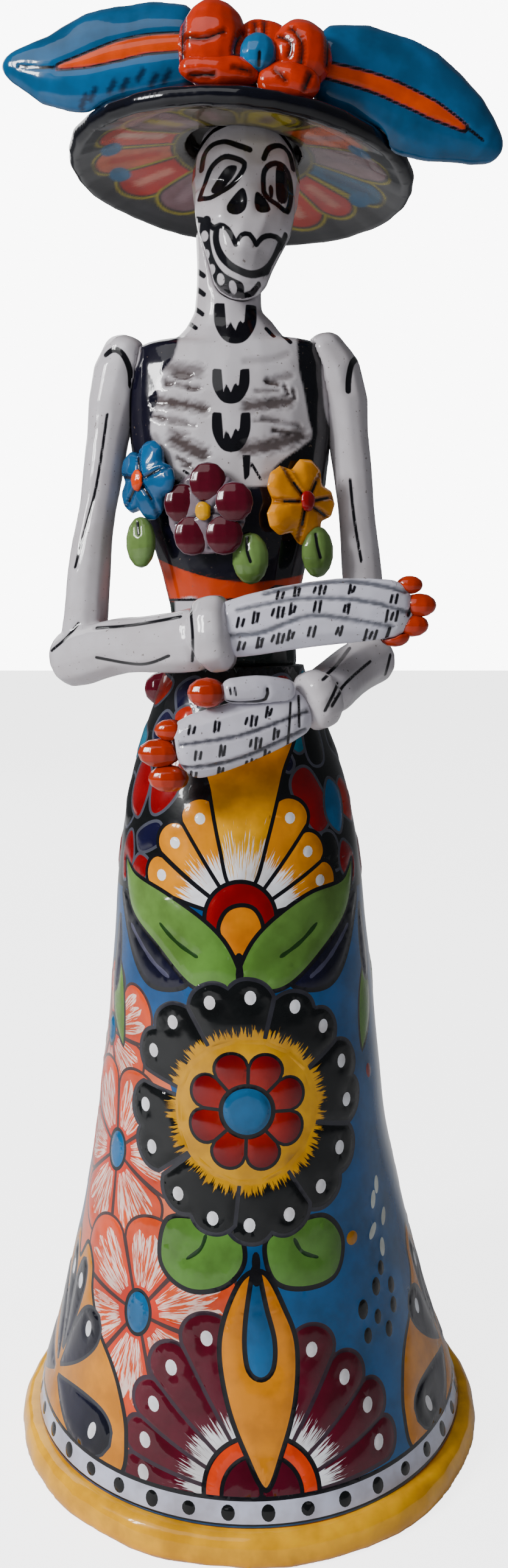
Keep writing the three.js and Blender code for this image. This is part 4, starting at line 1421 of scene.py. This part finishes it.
def make_hand(side, color, groove_width, groove_color, groove_strength, lines):
    """A loaf-like hand: pressed grey lines part the fingers, and ticks mark the bones."""
    form = Form(side + "_hand_glazed", (side + "_hand",), 0.65, 8)
    form.tint(color)
    for path in GROOVES[side]:
        form.smudge(path, groove_width, groove_color, groove_strength, 0.55)
    for row in TICKS[side]:
        tick_marks(form, *row)
    for path, width, depth in lines:
        form.line(path, width, depth)
    form.finish(WHITE_GLAZE, "figure", "white_glaze")


def make_fingertip(node):
    """An orange bead, darker where it meets its hand and towards the back: painted shade in the joint."""
    form = Form(node + "_glazed", (node,), 0.4, 4)
    low, high = form.points.min(0), form.points.max(0)
    inward = -1.0 if node.startswith("right") else 1.0
    free, held = (high, low) if inward < 0 else (low, high)
    form.stretch(1.4, 1.1, 1.08, held * 0.3 + free * 0.7)
    form.tint(FINGERTIP)
    inner = (form.points - (low + high) / 2) @ (inward, 0.6, 0) / ((high - low)[0] / 2)
    # painted shade where the bead meets its hand
    form.tint((96, 26, 18), np.clip((inner - 0.55) * 2, 0, 0.8))
    form.finish(PAINTED, "figure", "orange_glaze")


def make_hands():
    """Both hands, the left thumb and every orange fingertip."""
    knuckles = (([(30.1, 4.9), (28.5, 0.9)], 1.2, 0.3), ([(22.5, -3.1), (21.3, -7.7)], 1.2, 0.3))
    make_hand("right", RIGHT_HAND, 1.5, (92, 94, 102), 0.95, knuckles)
    creases = [([(15.7, 10.3), (14.9, -3.7)], 0.9, 0.2), ([(18.3, 12.3), (18.5, 2.3)], 0.9, 0.2)]
    creases.append(([(-22.3, -1.7), (-21.5, -8.7)], 0.9, 0.2))
    # painted shade: the left hand and its grooves are darker than the right hand's
    make_hand("left", SHADED_LEFT_HAND, 1.4, (74, 74, 82), 1.0, creases)
    thumb = Form("left_thumb_glazed", ("left_thumb",), 0.6, 6)
    thumb.tint(SHADED_LEFT_HAND)
    thumb.line([(-10.6, -3.8), (-5.2, -4.2), (2.2, -3), (2.8, 0.6)], 1.1, 0.4)
    for path in ([(-7.6, 1), (-7.2, -1.4)], [(-9.2, 1), (-8.8, -1.2)]):
        thumb.line(path, 0.8)
    thumb.finish(WHITE_GLAZE, "figure", "white_glaze")
    for node in frame["nodes"]:
        if "fingertip" in node or node == "left_thumb_tip":
            make_fingertip(node)


# ---- flowers, leaves and the bow at the back ----

FLOWER_ASIDE = 1.2  # the burgundy flower's petals stand this far towards +X of its disc


def make_bloom(node, color, centre, directions, shade, slot):
    """A flower in one lump: pressed dark lines part its petals."""
    form = Form(node + "_glazed", (node,), 0.5, 14)
    form.stretch(1.1, 1.02, 1.06)
    form.tint(color)
    for direction in directions:
        path = [polar(direction + turn, reach, centre) for turn, reach in ((0, 2.4), (3, 7.7), (0, 14))]
        form.smudge(path, 1.6, shade, 0.8, 0.9)
        form.line(path[:2], 0.8, 0.2)
    form.finish(PAINTED, "figure", slot)


def make_burgundy_flower():
    """Five flat round petals on a grey disc."""
    for k in range(1, 6):
        node = f"burgundy_petal_{k}"
        form = Form(node + "_glazed", (node,), 0.45, 4)
        form.points[:, 0] += FLOWER_ASIDE
        low, high = form.points.min(0), form.points.max(0)
        form.stretch(1.3, 0.62, 1.3, ((low[0] + high[0]) / 2, high[1] - 1.5, (low[2] + high[2]) / 2))
        form.tint((72, 15, 28))
        form.tint((112, 100, 108), np.clip((0.7 + form.normals[:, 1]) / 0.15, 0, 0.9))
        form.finish(PAINTED, "figure", "burgundy_glaze")
    disc = Form("burgundy_flower_disc_glazed", ("burgundy_flower_disc",), 0.6, 4)
    disc.tint((124, 114, 122))
    for k in range(5):
        gap = [polar(54 + 72 * k, reach, (FLOWER_ASIDE, 0)) for reach in (1, 12)]
        # painted shade: the disc is darker in the gaps between the petals
        disc.smudge(gap, 1.4, (40, 36, 44), 0.9, 0.6)
    disc.finish(PAINTED, "figure", "white_glaze")


def make_back_bow():
    """A burgundy bow at the back of the waist, with pressed folds darkened as painted shade."""
    for node, side in (("back_bow_knot", 0), ("back_bow_loop_right", -1), ("back_bow_loop_left", 1)):
        form = Form(node + "_glazed", (node,), 0.6, 4)
        form.tint((96, 20, 36))
        for rise in (-3, 0, 3) if side else ():
            path = [(-side * 13.2, rise * 0.3), (-side * 3.2, rise), (side * 6.8, rise * 1.2)]
            # painted shade: darker burgundy in each fold
            form.smudge(path, 1.4, (50, 8, 20), 0.9, 0.8, BACK)
        form.move(waves(form.points, 0.25, 7.0))
        form.finish(PAINTED, "figure", "burgundy_glaze")


def make_beads():
    """The bead in the middle of each flower."""
    beads = (
        ("blue_flower_bead", (214, 82, 32), "orange_glaze"),
        ("yellow_flower_bead", (150, 38, 40), "red_glaze"),
        ("burgundy_flower_bead", (222, 168, 62), "yellow_glaze"),
    )
    for node, color, slot in beads:
        form = Form(node + "_glazed", (node,), 0.35, 4)
        form.tint(color)
        form.move(waves(form.points, 0.2, 3.0))
        form.finish(PAINTED, "figure", slot)


def make_leaves():
    """Green leaves, darker towards their tips, each with a vein."""
    veins = (
        ("right_leaf", [(-1, 6.6), (-0.6, 2.6)]),
        ("middle_leaf", [(-1.2, 7), (-1.2, 2.4), (0, -1.2)]),
        ("left_leaf", [(-0.8, 6), (-0.2, 2), (1, -2)]),
    )
    for node, vein in veins:
        form = Form(node + "_glazed", (node,), 0.45, 5)
        form.stretch(1.2, 1, 1.04)
        form.tint((108, 132, 84))
        z = form.points[:, 2]
        form.tint((84, 110, 62), np.clip((z.mean() - z) / 12, 0, 0.8))
        form.line(vein, 1.1, 0.5)
        form.finish(PAINTED, "figure", "green_glaze")


def make_flowers():
    """The three flowers on the bodice with their beads and leaves, and the bow behind."""
    make_bloom("blue_flower", (38, 84, 126), (-2.8, 0), (90, 160, 235, 300, 20), (20, 56, 92), "blue_glaze")
    petals = (124, 62, 12, -35, -105, 178)
    make_bloom("yellow_flower", (222, 150, 40), (1.8, -0.2), petals, (120, 70, 24), "yellow_glaze")
    make_beads()
    make_burgundy_flower()
    make_leaves()
    make_back_bow()


# ---- the hat ----

HAT_UP = Vector(frame["joints"][0]["axis"]).normalized()
HAT_RIGHT = Vector((1, 0, 0)).cross(HAT_UP).cross(HAT_UP).normalized() * -1
HAT_BACK = HAT_UP.cross(HAT_RIGHT)
HAT_CENTRE = middle_of("hat_brim") - (0, 0, 2.8)  # of the rings on the brim and the crown
ABOVE = View(HAT_RIGHT, HAT_BACK, HAT_UP, 0.3)
BELOW = View(HAT_RIGHT, HAT_BACK, -HAT_UP, 0.35)
HAT_LINE = (24, 24, 30)
UNDER_PETALS = (  # (direction, reach, half angle, colour, middle colour)
    (205, 50, 13, (200, 70, 34), (230, 190, 170)),
    (178, 50, 11, (206, 112, 84), (200, 60, 36)),
    (152, 48, 14, (188, 52, 26), (226, 150, 130)),
    (125, 46, 13, (140, 104, 110), (170, 140, 146)),
    (98, 46, 12, (196, 170, 70), (120, 96, 100)),
    (60, 48, 15, (190, 56, 28), (216, 150, 130)),
    (36, 47, 11, (188, 50, 26), (214, 140, 120)),
    (12, 50, 9, (40, 96, 130), (30, 70, 110)),
    (-14, 50, 15, (150, 120, 122), (132, 100, 108)),
    (-44, 50, 13, (206, 100, 60), (150, 110, 110)),
    (-76, 44, 12, (182, 166, 60), (112, 92, 92)),
    (-106, 44, 12, (112, 100, 84), (150, 120, 120)),
    (-134, 48, 14, (140, 110, 112), (182, 166, 60)),
)


def paint_under_brim(form, radius):
    """Smeared petals round the skull on the brim's underside, which make_brim then darkens as painted shade.
    """
    under = BELOW.sees(form.normals)
    for edge, soft, color in ((54, 1.5, (44, 42, 46)), (47, 2, (66, 62, 46)), (34, 8, (76, 60, 62))):
        form.tint(color, np.clip((edge - radius) / soft, 0, 1) * under)
    for direction, reach, half, color, middle in UNDER_PETALS:
        outline = wedge(direction, half, 24, reach, 0.8)
        for grow, ring in ((1.2, (178, 164, 66)), (0.3, (40, 36, 36)), (-0.7, color)):
            form.shape(offset(outline, grow), ring, 0.9, BELOW)
        form.smudge([polar(direction, 30), polar(direction, reach - 7)], 4.2, middle, 0.8, 0, BELOW)
    for direction in (190, 165, 20, -30, 75):
        form.shape(oval(polar(direction, 44), 3.4, 5.2, direction), (44, 100, 140), 0.8, BELOW)
    # painted shade: the brim's inner edge round the skull, in the hollow, is dark grey-brown
    form.tint((58, 52, 48), (24 - radius) / 2)
    form.tint(HAT_LINE, np.clip(1.4 - np.abs(radius - 51.5) / 1.2, 0, 1) * under)


def make_brim():
    """The dark brim: smeared petals below, darkened as painted shade, and a ring of warm petals on blue
    above.
    """
    form = Form("hat_brim_glazed", ("hat_brim",), 0.8, 6)
    form.middle = HAT_CENTRE
    radius = np.hypot(*form.seen(BELOW).T)
    form.tint((8, 9, 18))
    paint_under_brim(form, radius)
    form.tint((30, 84, 132), np.clip(51 - radius, 0, 1) * ABOVE.sees(form.normals))
    for k in range(18):
        direction = 20 * k + 4
        outline = wedge(direction, 8.6, 30, 48, 0.8)
        form.shape(offset(outline, 1.0), HAT_LINE, 0.8, ABOVE)
        form.shape(outline, (206, 170, 66) if k % 2 else (196, 92, 40), 0.8, ABOVE)
        form.shape(oval(polar(direction, 43), 1.4, 1.4), BRIGHT_WHITE, 0.6, ABOVE)
    # painted shade: every colour on the brim's underside is darkened to 0.62
    form.color[BELOW.sees(form.normals)] *= 0.62
    form.move(waves(form.points, 0.2, 14.0))
    form.finish(PAINTED, "hat", "painted_brim")


def make_crown():
    """A blue crown with an orange flower on top. Its bare inside is painted dark grey-brown: painted shade in
    the hollow.
    """
    form = Form("hat_crown_glazed", ("hat_crown",), 0.8, 6)
    form.middle = HAT_CENTRE
    form.tint((34, 98, 150))
    radius = np.hypot(*form.seen(ABOVE).T)
    top = ABOVE.sees(form.normals)
    inner = (form.normals @ np.array(HAT_UP) < -0.2) | (radius < 23.5) & ~top
    # painted shade: the hollow inside the crown is dark grey-brown
    form.tint((50, 45, 42), inner.astype(float))
    for k in range(8):
        outline = wedge(45 * k + 10, 17, 4, 18, 0.8)
        form.shape(offset(outline, 0.8), HAT_LINE, 0.7, ABOVE)
        form.shape(outline, (206, 84, 34), 0.7, ABOVE)
    form.shape(oval((0, 0), 5, 5), (222, 164, 52), 0.7, ABOVE)
    form.tint(HAT_LINE, np.clip(1.2 - np.abs(radius - 20.5), 0, 1) * top)
    form.move(waves(form.points, 0.2, 10.0))
    form.finish(PAINTED, "hat", "blue_glaze")


PLUME_BLUE = (34, 82, 120)
PLUME_ORANGE = (196, 78, 30)
PLUMES = {  # (spine, widths along it, tail line, small dark marks)
    "right": (
        [(27.6, 1), (14.6, 0.8), (4.6, -0.8), (-4.4, -2.6), (-13.4, -3.8)],
        (4.8, 5.4, 5.6, 4, 1),
        [(-14.4, -3.8), (-20.4, -3), (-25.4, -2)],
        ((21.6, -7.4), (17.6, -8.2), (13.6, -6.8), (8.6, -9), (-1.4, -11), (-4.4, -12.4), (4.6, -9.2)),
    ),
    "left": (
        [(-27.6, 4.2), (-11.9, 0.8), (-1.9, -2.4), (8.4, -6.4), (17.9, -10.6)],
        (4.2, 4.8, 5.4, 5, 1.4),
        [(18.4, -10.4), (23.4, -13.4)],
        (),
    ),
}


def make_plume(side, spine, widths, tail, marks):
    """A blue plume with an orange leaf down its middle, front and back."""
    form = Form(side + "_plume_glazed", (side + "_plume",), 0.75, 8)
    form.move(waves(form.points, 0.3, 12.0))
    form.tint(PLUME_BLUE)
    line = curve(spine)
    places = np.linspace(0, 1, len(line))
    half = np.interp(places, np.linspace(0, 1, len(widths)), widths)[:, None] / 2 * normals_2d(line, False)
    inside = inner_distance(form.seen(FRONT), np.concatenate([line + half, (line - half)[::-1]]))
    front = FRONT.sees(form.normals)
    form.ink = np.maximum(form.ink, np.where(front, LINE + 0.45 - np.abs(inside + 0.2), 0))
    form.tint(PLUME_ORANGE, np.clip(inside / 0.7 + 0.5, 0, 1) * front)
    form.move(-0.5 * np.exp(-((inside / 1.2) ** 2)) * front)
    form.line(tail, 1.0, 0.3)
    for x, z in marks:
        form.smudge([(x, z), (x - 1.6, z - 2.2)], 1.8, (14, 30, 50), 0.9)
    along = line_distance(form.seen(BACK), line)
    back = BACK.sees(form.normals)
    form.tint(PLUME_ORANGE, np.clip((2.4 - along) / 0.8, 0, 1) * back)
    form.ink = np.maximum(form.ink, np.where(back, LINE + 0.45 - np.abs(along - 2.6), 0))
    form.finish(PAINTED, "hat", "blue_glaze")


BOW_FOLDS = {
    "bow_loop_right": (
        [(-8, 0.1), (-2.4, -0.9), (3.6, 0.9)],
        [(9, 2.5), (6.6, -3.5), (8, -7.5)],
        [(-9, -4.5), (-8.8, 5.5)],
    ),
    "bow_loop_left": (
        [(-6.7, 3.7), (-3.1, 0.9), (-3.7, -2.5)],
        [(-2.9, 5.5), (0.3, 0.1), (-0.3, -5.9)],
        [(8.1, 5.1), (7.9, -3.9)],
    ),
    "bow_pleat": ([(-2.7, 4), (-2.3, -0.4)], [(0.3, 4), (0.1, 0)]),
    "bow_tail_right": ([(-8.3, -1.6), (-1.3, -2.2)], [(4.7, -0.2), (9.7, -1)]),
    "bow_tail_left": ([(-4.1, 1.8), (-1.1, -1.2)], [(4.7, -3.2), (6.5, 0.8)]),
}


def make_bow():
    """The orange bow on the hat's front, with its blue button."""
    for node, folds in BOW_FOLDS.items():
        form = Form(node + "_glazed", (node,), 0.5, 4)
        if node == "bow_pleat":
            form.stretch(1.15, 1, 1.9, form.middle + (0, 0, 4.5))
        if node == "bow_tail_left":
            form.stretch(1.15, 1, 1.2)
        form.move(np.full(len(form.points), 1.2))
        form.tint((176, 56, 26))
        form.move(waves(form.points, 0.25, 6.0))
        for path in folds:
            # each fold: a thin ink line, and round it a darker orange smear that is painted shade in the
            # crease
            form.smudge(path, 2.0, (70, 20, 12), 0.8, 0.5)
            form.line(path, 0.5, 0.2)
        form.finish(PAINTED, "hat", "orange_glaze")
    button = Form("bow_button_glazed", ("bow_button",), 0.45, 4)
    button.tint((42, 94, 134))
    button.line([(0.3, -4.4), (0.5, -1.2)], 1.0, 0.4)
    button.finish(PAINTED, "hat", "blue_glaze")


# ---- light and camera ----


def area_light(name, place, target, size, power):
    """A rectangular lamp. Places and sizes are in metres, and the power is in watts."""
    data = bpy.data.lights.new(name, "AREA")
    data.shape = "RECTANGLE"
    data.size, data.size_y = size
    data.energy = power
    lamp = bpy.data.objects.new(name, data)
    bpy.context.scene.collection.objects.link(lamp)
    lamp.location = place
    lamp.rotation_euler = (Vector(target) - Vector(place)).to_track_quat("-Z", "Y").to_euler()


def make_camera():
    """The photograph's view, from a fit to the ellipses of the foot and its band."""
    data = bpy.data.cameras.new("camera")
    data.lens = 28.23
    data.sensor_width = 36
    camera = bpy.data.objects.new("camera", data)
    bpy.context.scene.collection.objects.link(camera)
    camera.location = (0.00175, -0.444, 0.307)
    camera.rotation_euler = (math.radians(82), 0, 0)
    bpy.context.scene.camera = camera


def make_world():
    """A bright backdrop for the camera, and a dim room for the glaze to reflect."""
    world = bpy.data.worlds.new("studio")
    world.use_nodes = True
    tree = world.node_tree
    room = tree.nodes["Background"]
    room.inputs[0].default_value = (0.92, 0.95, 1.0, 1)
    room.inputs[1].default_value = 0.11
    backdrop = tree.nodes.new("ShaderNodeBackground")
    backdrop.inputs[0].default_value = (1, 1, 1, 1)
    backdrop.inputs[1].default_value = 9.0
    path = tree.nodes.new("ShaderNodeLightPath")
    choice = tree.nodes.new("ShaderNodeMixShader")
    tree.links.new(path.outputs["Is Camera Ray"], choice.inputs[0])
    tree.links.new(room.outputs[0], choice.inputs[1])
    tree.links.new(backdrop.outputs[0], choice.inputs[2])
    tree.links.new(choice.outputs[0], tree.nodes["World Output"].inputs[0])
    bpy.context.scene.world = world


def make_floor():
    """A pale floor, bright only to the camera so that it throws no light on the figure."""
    reach = 6.0
    mesh = bpy.data.meshes.new("floor")
    corners = [(-reach, -reach, 0), (reach, -reach, 0), (reach, reach, 0), (-reach, reach, 0)]
    mesh.from_pydata(corners, [], [(0, 1, 2, 3)])
    floor = bpy.data.objects.new("floor", mesh)
    bpy.context.scene.collection.objects.link(floor)
    n = Nodes("pale_floor")
    place = n.add("ShaderNodeTexCoord").outputs["Object"]
    tone = n.spread(n.noise(place, 6.0), 0.3, 0.7)
    shade = n.mix(tone, (0.86, 0.86, 0.87, 1.0), (0.9, 0.9, 0.91, 1.0))
    n.link(shade, n.shader.inputs["Base Color"])
    n.shader.inputs["Roughness"].default_value = 0.7
    n.shader.inputs["Emission Color"].default_value = (1, 1, 1, 1)
    seen = n.add("ShaderNodeLightPath").outputs["Is Camera Ray"]
    n.link(n.math("MULTIPLY", seen, 3.5), n.shader.inputs["Emission Strength"])
    mesh.materials.append(n.material)


def make_studio():
    """Two narrow windows at the viewer's left, a soft sky, and a fill behind the figure."""
    make_camera()
    area_light("window_left", (-1.08, -0.60, 0.86), (0, 0, 0.3), (0.13, 0.36), 9.5)
    area_light("window_right", (-0.98, -0.78, 0.86), (0, 0, 0.3), (0.13, 0.36), 9.5)
    area_light("sky", (-0.7, -1.0, 1.5), (0, 0, 0.25), (1.4, 1.0), 8.0)
    area_light("back_fill", (-0.8, 1.3, 1.15), (0, 0, 0.25), (1.2, 1.0), 9.0)
    make_world()
    make_floor()


make_skirt()
make_foot()
make_torso()
make_skull()
make_arms()
make_hands()
make_flowers()
make_brim()
make_crown()
for side, parts in PLUMES.items():
    make_plume(side, *parts)
make_bow()
make_studio()
